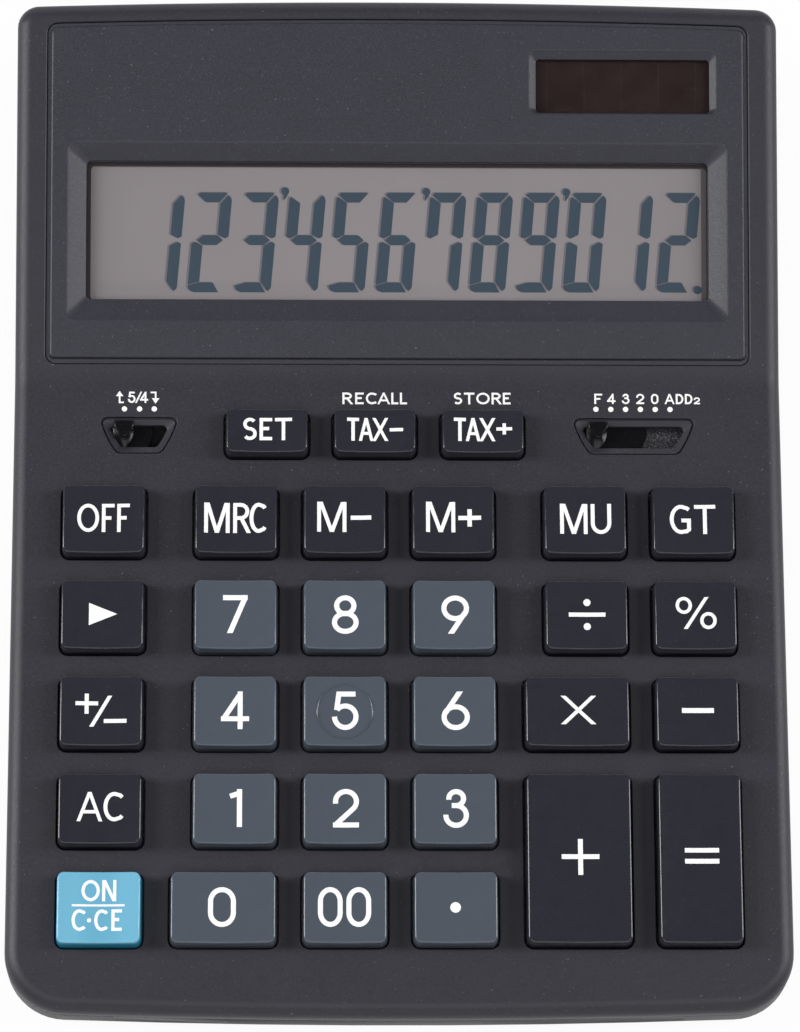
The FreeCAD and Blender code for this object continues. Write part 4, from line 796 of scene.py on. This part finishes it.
def keyCap(width, length):
    # a straight skirt, leaning sides, a rounded rim and a hollow top. The outline at any height lies between
    # those at the deck and at full height. The rim is a ball rolled along the edge P between the side's
    # outward direction W and the top's T: its centre is P - r (W + T) / (1 + W.T)
    rise, ball = keySizes["rise"], keySizes["edge"]
    leans = [math.tan(math.radians(keySizes[name])) for name in ("frontLean", "rearLean", "sideLean")]
    frontLean, rearLean, sideLean = leans
    grid = {"corner": 7, "across": 14, "along": max(2, round(length / 5))}
    foot, out = roundedRectangle(width, length, keySizes["corner"], **grid)
    head, _ = roundedRectangle(width - 2 * rise * sideLean, length - rise * (frontLean + rearLean),
                               keySizes["headCorner"], **grid)
    head[:, 1] += rise * (frontLean - rearLean) / 2
    height, climb = keyTop(head[:, 0], width)
    count = len(foot)
    edge = raised(foot + (head - foot) * (height / rise)[:, None], height)
    wall = unit(np.column_stack([out, dots(foot - head, out) / rise]))
    top = unit(np.column_stack([-climb, np.zeros(count), np.ones(count)]))
    centre = edge - ball * (wall + top) / (1 + dots(wall, top)[:, None])
    rows = [raised(foot, -keySizes["skirt"]), raised(foot, 0)]
    rows.append((rows[1] + centre + ball * wall) / 2)
    for turn in np.linspace(0, 1, 6):
        rows.append(centre + ball * unit(wall * (1 - turn) + top * turn))
    rim = rows[-1]
    middle = np.array([0, rim[:, 1].mean()])
    for shrink in keySizes["shrinks"]:
        plan = middle + (rim[:, :2] - middle) * shrink
        rows.append(raised(plan, keyTop(plan[:, 0], width)[0]))
    faces = footedFaces(len(rows), count)
    last, ring = (len(rows) - 1) * count, np.arange(count)
    faces += np.stack([last + ring, last + (ring + 1) % count, np.full(count, last + count)], 1).tolist()
    return np.concatenate(rows + [[[*middle, keyTop(0, width)[0]]]]), faces


for name in keyPlaces:
    x, y, width, length = keyCell(name)
    points, faces = keyCap(width, length)
    replaceNode(name, "_cap", (onDeck(points + (x, y, 0)), faces))
print("keys made")


# Switch knobs: places along the deck and heights over it. The hollow gives the shrinking and depth of its
# rings, an edge the inset and height of its rows
knobs = {
    "rounding_knob": {"x": -55.25, "ahead": 5.9}, "decimal_knob": {"x": 40.35, "ahead": 10.1}, "sunk": 0.2,
    "half": 2.0, "rear": 17.45, "shoulder": 16.2, "tip": 13.2, "corners": (1.2, 1.0, 1.2, 0.35, 0.35),
    "rise": 0.75, "edge": 0.36, "neck": 0.35, "hollow": ((0.72, -0.06), (0.5, -0.09), (0.2, -0.11)),
    "collarTop": -1.3, "collarFoot": 0.25, "collarLeft": -2.4, "collarRear": 17.3, "collarRun": 3.9,
    "collarBulge": 0.55, "collarCorner": 0.15, "collarFront": (-0.4, 0.9),
    "collarEdge": ((0, -0.16), (0.05, -0.05), (0.16, 0)),
    "behind": 4, "plateFront": 11.33, "plateRear": 17.72, "plateTop": -2.45, "plateThickness": 1,
    "plateCorner": 0.2, "plateEdge": ((0, -0.12), (0.12, 0)), "endBack": 1.6, "endTip": 15.4, "endCut": 0.6}


def edged(shape, low, top, rows):
    # a block with a broken upper edge
    plan, out = shape
    return column([(plan, low)] + [(plan - out * inset, top + up) for inset, up in rows])


def knobHead():
    # a shield with a rounded tip on a neck, a hollow top, and a quarter round for its rim
    half, rise, edge = knobs["half"], knobs["rise"], knobs["edge"]
    plan, out = roundedCorners([(-half, knobs["shoulder"]), (0, knobs["tip"]), (half, knobs["shoulder"]),
                                (half, knobs["rear"]), (-half, knobs["rear"])], knobs["corners"], 9, 3)
    rows = [(plan - out * knobs["neck"], knobs["collarTop"] - knobs["sunk"]), (plan - out * 0.05, -0.2)]
    for angle in np.radians([0, 18, 36, 54, 72, 84]):
        rows.append((plan - out * edge * (1 - math.cos(angle)), rise - edge * (1.15 - math.sin(angle))))
    middle = np.array([0, (knobs["rear"] + knobs["shoulder"]) / 2])
    rows += [(middle + (plan - middle) * shrink, rise + up) for shrink, up in knobs["hollow"]]
    return column(rows)


def knobCollar():
    # a block whose side runs in towards the front and bulges as a parabola
    foot, reach = knobs["collarFoot"], knobs["half"] - 0.15
    rear, left = knobs["collarRear"], knobs["collarLeft"]
    across = np.linspace(0, 1, 9)[:, None]
    corner, front = knobs["collarFront"][0], knobs["plateFront"] + knobs["collarFront"][1]
    side = np.array([foot, front]) + across * np.array([reach - foot, knobs["collarRun"]])
    side[:, 0] += knobs["collarBulge"] * 4 * across[:, 0] * (1 - across[:, 0])
    corners = np.concatenate([[(left, front), (corner, front)], side, [(reach, rear), (left, rear)]])
    shape = roundedCorners(corners, [knobs["collarCorner"]] * len(corners), 4, 2)
    return edged(shape, knobs["plateTop"] - knobs["sunk"], knobs["collarTop"], knobs["collarEdge"])


def knobPlate(ahead):
    # a thin plate with a pointed end
    front, rear = knobs["plateFront"], knobs["plateRear"]
    corners = [(-knobs["behind"], front), (ahead - knobs["endBack"], front), (ahead, knobs["endTip"]),
               (ahead - knobs["endCut"], rear), (-knobs["behind"], rear)]
    shape = roundedCorners(corners, [knobs["plateCorner"]] * len(corners), 4, 2)
    return edged(shape, knobs["plateTop"] - knobs["plateThickness"], knobs["plateTop"], knobs["plateEdge"])


for name in ("rounding_knob", "decimal_knob"):
    points, faces = joined([knobHead(), knobCollar(), knobPlate(knobs[name]["ahead"])])
    replaceNode(name, "_slider", (onDeck(points + (knobs[name]["x"], 0, 0)), faces))
print("switch knobs made")


# Legends: strokes of one width, laid on the surface that carries them


def arc(cx, cy, rx, ry, first, last, steps=14):
    # part of an ellipse, from one angle to another
    return (cx, cy) + circle(np.radians(np.linspace(first, last, steps + 1))) * (rx, ry)


def line(*places):
    return np.array(places, float).reshape(-1, 2)


def path(*parts):
    return np.concatenate([np.asarray(part, float).reshape(-1, 2) for part in parts])


# Each glyph: its width for a height of 1, and its strokes on the middle lines of the outermost strokes,
# which lie at 0 and 1 in both directions. The letters after a stroke say how its ends are cut:
# s runs half a stroke further, l is level with the foot or head, b is square where the line ends
upright = (line(0, 0, 0, 1), "ss")
other = (line(1, 0, 1, 1), "ss")
head = (line(0, 1, 1, 1), "ss")
sole = (line(0, 0, 1, 0), "ss")
level = (line(0, .5, 1, .5), "ss")
glyphs = {
    "0": (0.67, [(path(arc(.5, .66, .5, .34, 0, 180, 20), arc(.5, .34, .5, .34, 180, 360, 20), (1, .66)),
                  "o")]),
    "1": (0.3, [(line(1, 0, 1, 1), "ss"), (line(-.35, .86, 1, .955), "bb")]),
    "2": (0.62, [(path((0, .636), arc(.5, .7, .5, .3, 180, -40, 22), (0.04, 0.03)), "bb"), sole]),
    "3": (0.62, [(path((.153, .757), arc(.506, .793, .353, .207, 180, -90, 22), (.29, .586)), "bb"),
                 (path((.42, .585), arc(.498, .2925, .492, .2925, 90, -180, 28), (.006, .313)), "bb")]),
    "4": (0.68, [(line(.72, 0, .72, 1), "ss"), (line(.72, 1, .02, .26), "bb"), (line(0, .24, 1, .24), "ss")]),
    "5": (0.64, [(path((.86, 1), (.2, 1), (.1, .52)), "sb"), (arc(.5, .322, .5, .322, 140, -180, 28), "bb")]),
    "6": (0.68, [(arc(.5, .31, .5, .31, 90, 450, 36), "o"), (line(.045, .42, .62, 1.0), "bl")]),
    "7": (0.6, [head, (line(1, .99, .28, 0), "bl")]),
    "8": (0.62, [(arc(.5, .76, .4, .24, 90, 450, 32), "o"), (arc(.5, .26, .5, .27, 90, 450, 36), "o")]),
    "9": (0.68, [(arc(.5, .69, .5, .31, 90, 450, 36), "o"), (line(.955, .58, .38, 0), "bl")]),
    "A": (0.74, [(line(0, 0, .5, 1.07), "ll"), (line(1, 0, .5, 1.07), "ll"), (line(.2, .3, .8, .3), "bb")]),
    "C": (0.62, [(path((1, .86), (.9, .935), arc(.53, .5, .53, .5, 72, 288, 28), (.9, .065), (1, .14)),
                  "bb")]),
    "D": (0.6, [(path((0, 1), (.35, 1), arc(.35, .5, .65, .5, 90, -90, 20), (0, 0)), "bb"), upright]),
    "E": (0.46, [upright, head, (line(0, .53, .86, .53), "bb"), sole]),
    "F": (0.46, [upright, head, (line(0, .5, .86, .5), "bb")]),
    "G": (0.62, [(path((1, .885), (.88, .945), arc(.54, .5, .54, .5, 70, 285, 28), (.86, .035), (1, .1),
                       (1, .46), (.56, .46)), "bb")]),
    "L": (0.44, [(line(0, 1, 0, 0), "ss"), sole]),
    "M": (0.84, [upright, other, (line(.06, 1.07, .5, -.07), "ll"), (line(.94, 1.07, .5, -.07), "ll")]),
    "N": (0.62, [upright, other, (line(0.05, 1.07, .95, -.07), "ll")]),
    "O": (0.8, [(arc(.5, .5, .5, .5, 90, 450, 36), "o")]),
    "R": (0.56, [upright, (path((0, 1), (.45, 1), arc(.45, .75, .5, .25, 90, -90, 16), (0, .5)), "bb"),
                 (line(.48, .5, 1, 0), "bl")]),
    "S": (0.5, [(path(arc(.52, .755, .5, .245, 38, 262, 18), arc(.48, .255, .52, .255, 78, -142, 20)),
                 "bb")]),
    "T": (0.62, [head, (line(.5, 1, .5, 0), "bs")]),
    "U": (0.62, [(path((0, 1), (0, .34), arc(.5, .34, .5, .34, 180, 360, 20), (1, 1)), "ss")]),
    "X": (0.74, [(line(0, 0, 1, 1), "ll"), (line(0, 1, 1, 0), "ll")]),
    "/": (0.4, [(line(0, 0, 1, 1), "ll")]),
    "-": (0.62, [level]),
    "+": (0.72, [level, (line(.5, .02, .5, .98), "bb")]),
}
closeWords = {"TAX": 0.0, "AC": 0.05, "CE": 0.13, "ADD": 0.12, "ALL": 0.1, "STORE": 0.11}
thinner = {"A": 0.88, "X": 0.88}
ink = {"lift": 0.02, "deckLift": 0.015, "layer": 0.002, "depth": 0.05, "longest": 1.2}


def ribbon(points, half, ends, surface, lift, limits=(0, 0)):
    # a stroke as a thin bar: the middle line is moved half a stroke to each side, mitred where it bends,
    # and both edges are carried on to the surface. Limits are the levels of the foot and the head
    closed = ends == "o"
    points = np.asarray(points, float)
    apart = np.linalg.norm(np.diff(points, axis=0), axis=1) > 1e-6
    points = points[np.concatenate([[True], apart])]
    if closed:
        points = points[:-1]
    else:
        parts = [points[:1]]
        for start, finish in zip(points[:-1], points[1:]):
            steps = max(1, int(np.linalg.norm(finish - start) / ink["longest"]))
            parts.append(start + (finish - start) * (np.arange(1, steps + 1) / steps)[:, None])
        points = np.concatenate(parts)
    run = unit(np.roll(points, -1, 0) - points)
    back = np.roll(run, 1, 0)
    if not closed:
        run[-1] = run[-2]
        back[0] = run[0]
    middle = unit(run + back)
    stretch = 1 / np.clip(dots(middle, run), 0.5, 1)
    side = np.stack([-middle[:, 1], middle[:, 0]], 1) * (half * stretch)[:, None]
    left, right = points + side, points - side
    if not closed:
        for index, cut, away in ((0, ends[0], -run[0]), (-1, ends[1], run[-1])):
            level = limits[0] if away[1] < 0 else limits[1]
            for edge in (left, right):
                if cut == "s":
                    edge[index] += away * half
                elif cut == "l":
                    edge[index] += away * (level - edge[index][1]) / away[1]
    rows = [surface(edge, up) for edge, up in (
        (left, -ink["depth"]), (right, -ink["depth"]), (right, lift), (left, lift))]
    count = len(points)
    faces = (ringFaces if closed else bandFaces)(count, 4)[:, ::-1].tolist()
    if not closed:
        faces += [[0, 1, 2, 3], [4 * count - step for step in (1, 2, 3, 4)]]
    return np.stack(rows, 1).reshape(-1, 3), faces


def patch(corners, surface, lift=ink["lift"], depth=ink["depth"]):
    # a flat polygon as a thin plate, anticlockwise
    corners = np.asarray(corners, float)
    return column([(corners, -depth), (corners, lift)], surface)


def disc(x, y, radius, surface, lift=ink["lift"]):
    return patch(arc(x, y, radius, radius, 0, 360, 28)[:-1], surface, lift)


def word(text, left, right, low, high, weight, surface, lift=ink["lift"]):
    # glyphs side by side, their widths stretched so that the word fills its box; stroke widths stay even, and
    # each stroke of a glyph lies one layer higher than the one before
    height = high - low
    spacing = closeWords.get(text, 0.1)
    widths = [glyphs[letter][0] for letter in text]
    scale = (right - left) / (sum(widths) + spacing * (len(text) - 1))
    half = weight * height / 2
    parts = []
    for letter, width in zip(text, widths):
        inner = np.array([width * scale - 2 * half, height - 2 * half])
        for index, (stroke, ends) in enumerate(glyphs[letter][1]):
            places = stroke * inner + (left + half, low + half)
            parts.append(ribbon(places, half * thinner.get(letter, 1), ends, surface,
                                lift + ink["layer"] * index, (low, high)))
        left += (width + spacing) * scale
    return parts


def keySurface(name):
    # places on a key's top, measured from a point a little in front of its centre
    x, y, width, length = keyCell(name)

    def surface(plan, lift):
        return deckSurface(plan + (x, y - keySizes["legendShift"]), keyTop(plan[:, 0], width)[0] + lift)
    return surface


# Boxes of the words on each key from its centre: text, left, right, low, high, weight of the strokes
keyWords = {
    "key_set": [("SET", -4.8, 5.03, -1.8, 2.85, 0.15)],
    "key_tax_minus": [("TAX", -5.6, 2.5, -1.9, 2.9, 0.145), ("-", 2.95, 5.65, -1.35, 2.2, 0.19)],
    "key_tax_plus": [("TAX", -5.85, 2.35, -1.9, 2.95, 0.145), ("+", 2.7, 5.85, -0.9, 2.2, 0.22)],
    "key_off": [("OFF", -5.25, 5.2, -2.5, 3.3, 0.125)],
    "key_mrc": [("M", -6.35, -1.26, -2.65, 3.55, 0.125), ("R", -0.57, 2.77, -2.65, 3.55, 0.125),
                ("C", 2.69, 6.15, -2.65, 3.55, 0.125)],
    "key_m_minus": [("M", -5.5, 0.35, -2.4, 3.8, 0.125), ("-", 1.2, 5.3, -1.5, 2.6, 0.21)],
    "key_m_plus": [("M", -5.45, 0.4, -2.4, 3.85, 0.125), ("+", 1.0, 5.55, -1.75, 2.85, 0.19)],
    "key_mu": [("MU", -5.05, 5.2, -2.7, 3.5, 0.125)],
    "key_gt": [("GT", -4.75, 4.4, -2.65, 3.35, 0.13)],
    "key_7": [("7", -2.5, 2.4, -3.55, 4.2, 0.135)], "key_8": [("8", -2.55, 2.75, -3.6, 4.2, 0.13)],
    "key_9": [("9", -2.5, 3.0, -3.6, 4.2, 0.13)], "key_4": [("4", -2.75, 2.8, -3.4, 4.2, 0.13)],
    "key_5": [("5", -2.55, 2.7, -3.55, 4.2, 0.13)], "key_6": [("6", -2.6, 3.0, -3.55, 4.25, 0.13)],
    "key_1": [("1", -0.9, 1.5, -3.4, 4.15, 0.135)], "key_2": [("2", -2.35, 2.75, -3.5, 4.2, 0.13)],
    "key_3": [("3", -2.4, 2.7, -3.55, 4.2, 0.13)], "key_0": [("0", -2.95, 2.5, -3.6, 4.25, 0.125)],
    "key_00": [("00", -5.3, 5.1, -3.6, 4.25, 0.125)], "key_multiply": [("X", -2.8, 3.2, -2.35, 3.4, 0.14)],
    "key_ac": [("AC", -4.4, 4.75, -2.3, 3.55, 0.13)],
    "key_on_clear": [("ON", -3.35, 3.45, 1.45, 5.65, 0.15), ("C", -5.2, -2.35, -4.4, -0.15, 0.15),
                     ("CE", -0.8, 4.6, -4.4, -0.15, 0.15)],
}
# Level bars: left, right, low, high
keyBars = {
    "key_divide": [(-3.55, 3.75, -0.1, 0.75)], "key_minus": [(-3.1, 3.25, -0.05, 0.95)],
    "key_plus": [(-3.5, 3.9, 0.05, 1.0)], "key_equals": [(-3.1, 3.65, -0.85, 0.1), (-3.1, 3.65, 1.35, 2.25)],
    "key_sign": [(-5.05, -0.6, 1.35, 2.15), (0.55, 5.05, -2.2, -1.4)],
    "key_on_clear": [(-5.2, 5.1, 0.42, 0.84)]}
# Dots: x, y, radius
keyDots = {
    "key_divide": [(0.1, -2.1, 0.72), (0.1, 2.8, 0.72)], "key_point": [(-0.1, 0.25, 1.05)],
    "key_on_clear": [(-1.8, -2.3, 0.42)]}
# Other strokes: the middle line, half the width, how the ends are cut, and the layer
keyStrokes = {
    "key_plus": [(line(0.2, -3.1, 0.2, 4.05), 0.48, "bb", 1)],
    "key_percent": [(line(-2.0, -2.55, 2.25, 3.95), 0.34, "ll", 0),
                    (arc(-2.3, 2.25, 1.3, 1.4, 90, 450, 30), 0.34, "o", 0),
                    (arc(2.55, -0.85, 1.3, 1.4, 90, 450, 30), 0.34, "o", 0)],
    "key_sign": [(line(-2.85, -0.35, -2.85, 3.7), 0.4, "bb", 1),
                 (line(-1.9, -2.95, 1.75, 3.3), 0.36, "ll", 2)]}
keyArrow = [(-2.65, -2.0), (2.95, 0.28), (-2.65, 2.55)]


def keyLegend(name):
    surface = keySurface(name)
    parts = []
    for values in keyWords.get(name, []):
        parts += word(*values, surface)
    for left, right, low, high in keyBars.get(name, []):
        half = (high - low) / 2
        parts.append(ribbon(line(left, low + half, right, low + half), half, "bb", surface, ink["lift"]))
    parts += [disc(*values, surface) for values in keyDots.get(name, [])]
    for stroke, half, ends, layer in keyStrokes.get(name, []):
        lift, limits = ink["lift"] + ink["layer"] * layer, (stroke[0, 1], stroke[-1, 1])
        parts.append(ribbon(stroke, half, ends, surface, lift, limits))
    if name == "key_shift":
        parts.append(patch(keyArrow, surface))
    return joined(parts)


for name in keyPlaces:
    addPiece(name + "_legend", keyLegend(name), name, slotOf[name], materials["legend"])

ring = {"radius": 5.45, "thick": 0.17, "shift": 0.28, "steps": 96, "sides": 10}


def bead(surface):
    # a round bar bent to a ring, half sunk into the surface
    turn = np.linspace(0, 2 * math.pi, ring["steps"], endpoint=False)
    rows = []
    for angle in np.linspace(0, 2 * math.pi, ring["sides"], endpoint=False):
        reach = ring["radius"] + ring["thick"] * math.cos(angle)
        rows.append(surface(reach * circle(turn) + (0, ring["shift"]), ring["thick"] * math.sin(angle)))
    return np.concatenate(rows), ringFaces(ring["sides"], ring["steps"])


addPiece("key_5_ring", bead(keySurface("key_5")), "key_5", slotOf["key_5"], materials["key_slate"])

# Words of the deck: text, left, right, low, high, weight of the strokes
deckWords = [
    ("R", -11.25, -9.28, 21.1, 23.55, 0.17), ("E", -8.68, -6.95, 21.1, 23.55, 0.17),
    ("C", -6.5, -4.22, 21.1, 23.55, 0.17), ("ALL", -4.1, 1.8, 21.1, 23.55, 0.17),
    ("STORE", 11.25, 22.75, 21.15, 23.6, 0.17), ("F", 39.7, 41.3, 21.3, 23.45, 0.17),
    ("4", 42.3, 44.0, 21.3, 23.45, 0.155), ("3", 45.25, 46.85, 21.3, 23.45, 0.165),
    ("2", 48.2, 49.8, 21.3, 23.45, 0.165), ("0", 51.2, 52.7, 21.3, 23.45, 0.165),
    ("ADD", 54.0, 59.6, 21.3, 23.45, 0.175), ("2", 59.85, 61.1, 21.3, 22.75, 0.2),
    ("5", -54.55, -53.0, 21.25, 23.6, 0.155), ("/", -53.0, -51.75, 21.25, 23.6, 0.13),
    ("4", -52.1, -50.45, 21.25, 23.6, 0.155)]
# Dots at the knobs' places: all x, y and the radius
deckDots = [((-55.2, -52.15, -49.2), 19.98, 0.55), (np.arange(6) * 3.0 + 40.0, 20.17, 0.55)]
# Rounding up is an arrow on a foot that turns right, rounding off a hook that comes from the left and points
# down: the stroke, half its width, and the tip
deckSigns = [
    (line(-56.2, 22.7, -56.2, 21.35, -55.35, 21.35), 0.17,
     [(-56.95, 22.65), (-55.45, 22.65), (-56.2, 23.75)]),
    (line(-49.95, 23.45, -48.95, 23.45, -48.95, 22.2), 0.17,
     [(-49.7, 22.25), (-48.95, 21.1), (-48.2, 22.25)])]
parts = []
for values in deckWords:
    parts += word(*values, deckSurface, ink["deckLift"])
for xs, y, radius in deckDots:
    parts += [disc(x, y, radius, deckSurface, ink["deckLift"]) for x in xs]
for stroke, half, tip in deckSigns:
    parts.append(ribbon(stroke, half, "bb", deckSurface, ink["deckLift"]))
    parts.append(patch(tip, deckSurface, ink["deckLift"] + ink["layer"] / 2))
addPiece("deck_legends", joined(parts), "case", "case", materials["legend"])
print("legends made")


# Screen
screen = {
    "level": -4.3, "low": 18.02, "high": 38.54, "pitch": 9.556, "start": -52.38, "width": 7.4,
    "climb": 0.0265, "stroke": 2.05, "side": 2.27, "waistShift": 0.46, "gap": 0.17, "slant": 0.0875,
    # shade is how far the segments' painted shadows lie from them
    "lift": 0.03, "depth": 0.005, "shade": (-0.42, 0.12), "shadeLift": 0.01, "shadeDepth": 0.02,
    "commas": (-22.89, 5.91, 34.51),
    "commaY": 38.9, "point": (61.25, 18.85, 0.85, 0.85),
    # end: the strip of painted shade at the screen's right end
    "end": [(62.0, 16.4), (63.2, 16.4), (63.2, 43.8), (62.0, 43.8)],
    "lit": ["bc", "abged", "abgcd", "fgbc", "afgcd", "afgecd", "abcf", "abcdefg", "abcdfg", "abcdef", "bc",
            "abged"]}


def screenSurface(plan, lift):
    return displaySurface(plan, screen["level"] + lift)


def screenPiece(name, shape, material):
    addPiece(name, shape, "case", "screen_glass", materials[material])


def digit(segments, left, low):
    # seven bars round a leaning frame with cut outer corners; the foot bar takes both lower left corners
    width, stroke, gap, side = (screen[name] for name in ("width", "stroke", "gap", "side"))
    height = screen["high"] - screen["low"]
    middle, waist = height / 2 + screen["waistShift"], stroke / 2
    above = [(0, middle + 0.75), (0.7, middle + 0.33), (side, middle + waist + 0.12)]
    below = [(side, middle - waist - 0.12), (0.7, middle - 0.31), (0, middle - 0.72)]
    upperRight = [*above, (side, height - stroke - 0.24), (0.78, height - 0.5), (0.22, height - 1.0),
                  (0, height - 1.7)]
    lowerRight = [*below, (0, 1.05), (0.2, 0.65), (0.68, 0.25), (side, stroke + 0.2)]
    shapes = {
        "a": [(0.44, height - 0.48), (side - 0.05, height - stroke), (width - side - 0.3, height - stroke),
              (width - 0.95, height - 0.1), (width - 1.1, height), (0.98, height)],
        "d": [(0, 1.36), (0.12, 0.9), (0.45, 0.45), (0.9, 0.15), (1.43, 0), (width - 1.08, 0),
              (width - side - 0.12, stroke), (side - 0.05, stroke)],
        "g": [(1.06, middle), (side, middle - waist), (width - side, middle - waist),
              (width - 1.06, middle), (width - side, middle + waist), (side, middle + waist)],
        "f": [*above, (side, height - stroke - 0.12), (0.3, height - 0.84), (0, height - 1.3)],
        "b": [(width - x, y) for x, y in upperRight], "c": [(width - x, y) for x, y in lowerRight],
        "e": [*below, (0, 1.36 + gap), (side, stroke + gap)]}
    parts = []
    for letter in segments:
        corners = np.array(shapes[letter], float)
        x, y = corners.T
        area = np.sum(x * np.roll(y, -1) - y * np.roll(x, -1))
        if area < 0:
            corners = corners[::-1]
        corners[:, 0] += left + screen["slant"] * corners[:, 1]
        corners[:, 1] += low
        parts.append(corners)
    return parts


marks = []
for index, segments in enumerate(screen["lit"]):
    left = screen["start"] + index * screen["pitch"]
    marks += digit(segments, left, screen["low"] + screen["climb"] * index)
comma = path(arc(0, 0, .8, .8, -36, 250, 24), (-.42, -1.84), (-.3, -1.9), (.25, -1.25))
marks += [comma + (x, screen["commaY"]) for x in screen["commas"]]
marks.append(arc(*screen["point"], 0, 360, 30)[:-1])
segments = joined([patch(mark, screenSurface, screen["lift"], screen["depth"]) for mark in marks])
screenPiece("screen_segments", segments, "segment")

# A dark frame under the window, a little inside its opening at the left, the right and the rear. Its dark
# colour is painted shade along those edges, and it also casts some real shadow on the glass: width,
# length and middle of its two outlines, their corner radius, and two heights over the glass
mask = {
    "outer": (126.5, 28.3, 0, 30.45), "inner": (125.5, 27.5, 0.3, 30.1), "corner": 0.8, "low": 0.3,
    "high": 0.46}
rows = []
for outline, up in (("outer", "low"), ("outer", "high"), ("inner", "high"), ("inner", "low")):
    width, length, x, y = mask[outline]
    rows.append(screenSurface(roundedRectangle(width, length, mask["corner"])[0] + (x, y), mask[up]))
screenPiece("screen_shade_mask", (np.concatenate(rows), ringFaces(4, len(rows[0]))), "mask")

# Painted shade: a darker strip at the reflector's right end, where the housing shades it, and the segments'
# soft shadows painted on the reflector behind them
behind = (screenSurface, screen["shadeLift"], screen["shadeDepth"])
screenPiece("screen_end_painted_shade", patch(screen["end"], *behind), "screen_end_painted_shade")
shades = joined([patch(mark + screen["shade"], *behind) for mark in marks])
screenPiece("screen_segment_shades", shades, "segment_shade")
print("screen made")


# Pieces that keep their own shape, with broken edges


def insideBows(points):
    # what stands outside the bowed front or rear edge is moved on to it
    half, end = case["width"] / 2, case["depth"] / 2
    points = points.copy()
    for sign, bow in ((-1, case["frontBow"]), (1, case["rearBow"])):
        radius = bowRadius(bow)
        edge = end - radius + np.sqrt(radius ** 2 - np.minimum(np.abs(points[:, 0]), half) ** 2)
        outside = sign * points[:, 1] > edge + 0.04
        points[outside, 1] = sign * (edge[outside] - 0.02)
    return points


finishedCopy("lower_case", 0.25, trim=insideBows)
finishedCopy("feet", 0.4, segments=3)
finishedCopy("battery_door", 0.2)
for node in ("case_screws", "battery_door_screw", "button_cell"):
    finishedCopy(node, 0.12)
print("other pieces finished")


# Floor, light and camera
studio = {
    "floor": 4.0, "white": 0.94, "ambient": 0.1,
    "lamps": {
        "front_high": {"at": (0.1, -0.75, 1.45), "size": (1.6, 0.7), "power": 7.5},
        "front_low": {"at": (0.0, -1.3, 0.45), "size": (1.8, 0.12), "power": 3},
        "right": {"at": (1.2, 0.08, 0.8), "size": (0.4, 1.2), "power": 15},
        "left": {"at": (-1.2, 0.08, 0.78), "size": (0.4, 1.2), "power": 18.5},
        "rear": {"at": (0.0, 1.2, 0.45), "size": (1.4, 0.25), "power": 3}}}


def floorMaterial():
    # a white sheet that keeps its shadows; seen directly, in gloss or through a window it is lifted to white
    finish = Finish("floor_sheet")
    tone = finish.colour(finish.noise(2, 3), (0.78, 0.78, 0.78), (0.82, 0.82, 0.82))
    sheet = finish.node("ShaderNodeBsdfPrincipled", values={"Base Color": tone, "Roughness": 0.9})["BSDF"]
    rays = finish.node("ShaderNodeLightPath")
    seen = rays["Is Camera Ray"].most(rays["Is Glossy Ray"].most(rays["Is Transmission Ray"]))
    glow = finish.node("ShaderNodeEmission", values={"Color": (1, 1, 1), "Strength": 1.0})["Emission"]
    return finish.end(finish.node("ShaderNodeMixShader", values={
        0: seen * studio["white"], 1: sheet, 2: glow})["Shader"])


half = studio["floor"] / 2 / mm
corners = [(-half, -half, 0), (half, -half, 0), (half, half, 0), (-half, half, 0)]
addPiece("floor", (corners, [(0, 1, 2, 3)]), None, None, floorMaterial())

world = bpy.data.worlds.new("studio")
bpy.context.scene.world = world
world.use_nodes = True
background = world.node_tree.nodes["Background"].inputs
background["Color"].default_value = (1, 1, 1, 1)
background["Strength"].default_value = studio["ambient"]

for name, values in studio["lamps"].items():
    lamp = bpy.data.lights.new(name, "AREA")
    lamp.shape = "RECTANGLE"
    lamp.size, lamp.size_y = values["size"]
    lamp.energy = values["power"]
    holder = stand(name, lamp)
    holder.location = values["at"]
    holder.rotation_euler = (-Vector(values["at"])).to_track_quat("-Z", "Y").to_euler()

view = {
    "elevation": 72.0, "azimuth": 4.435, "roll": 4.352, "distance": 905.2, "aim": (0, 0, 17),
    "focal": 4511.6, "centre": (398.60, 504.03), "image": (800, 1032), "sensor": 36}


def addCamera():
    # the eye stands back from the aim along its line of sight and is rolled about it
    elevation, azimuth, roll = (math.radians(view[name]) for name in ("elevation", "azimuth", "roll"))
    forward = Vector((math.sin(azimuth) * math.cos(elevation), math.cos(azimuth) * math.cos(elevation),
                      -math.sin(elevation)))
    level = Vector((math.cos(azimuth), -math.sin(azimuth), 0))
    upright = level.cross(forward)
    right = level * math.cos(roll) + upright * math.sin(roll)
    above = upright * math.cos(roll) - level * math.sin(roll)
    data = bpy.data.cameras.new("camera")
    width, height = view["image"]
    longest = max(width, height)
    data.sensor_width = view["sensor"]
    data.lens = view["sensor"] * view["focal"] / longest
    data.shift_x = (width / 2 - view["centre"][0]) / longest
    data.shift_y = (view["centre"][1] - height / 2) / longest
    data.clip_start, data.clip_end = 0.01, 20
    holder = stand("camera", data)
    place = (Vector(view["aim"]) - forward * view["distance"]) * mm
    turned = Matrix((right, above, -forward)).transposed().to_4x4()
    holder.matrix_world = Matrix.Translation(place) @ turned
    bpy.context.scene.camera = holder


addCamera()
bpy.context.scene.view_settings.view_transform = "Standard"
print("floor, light and camera set")
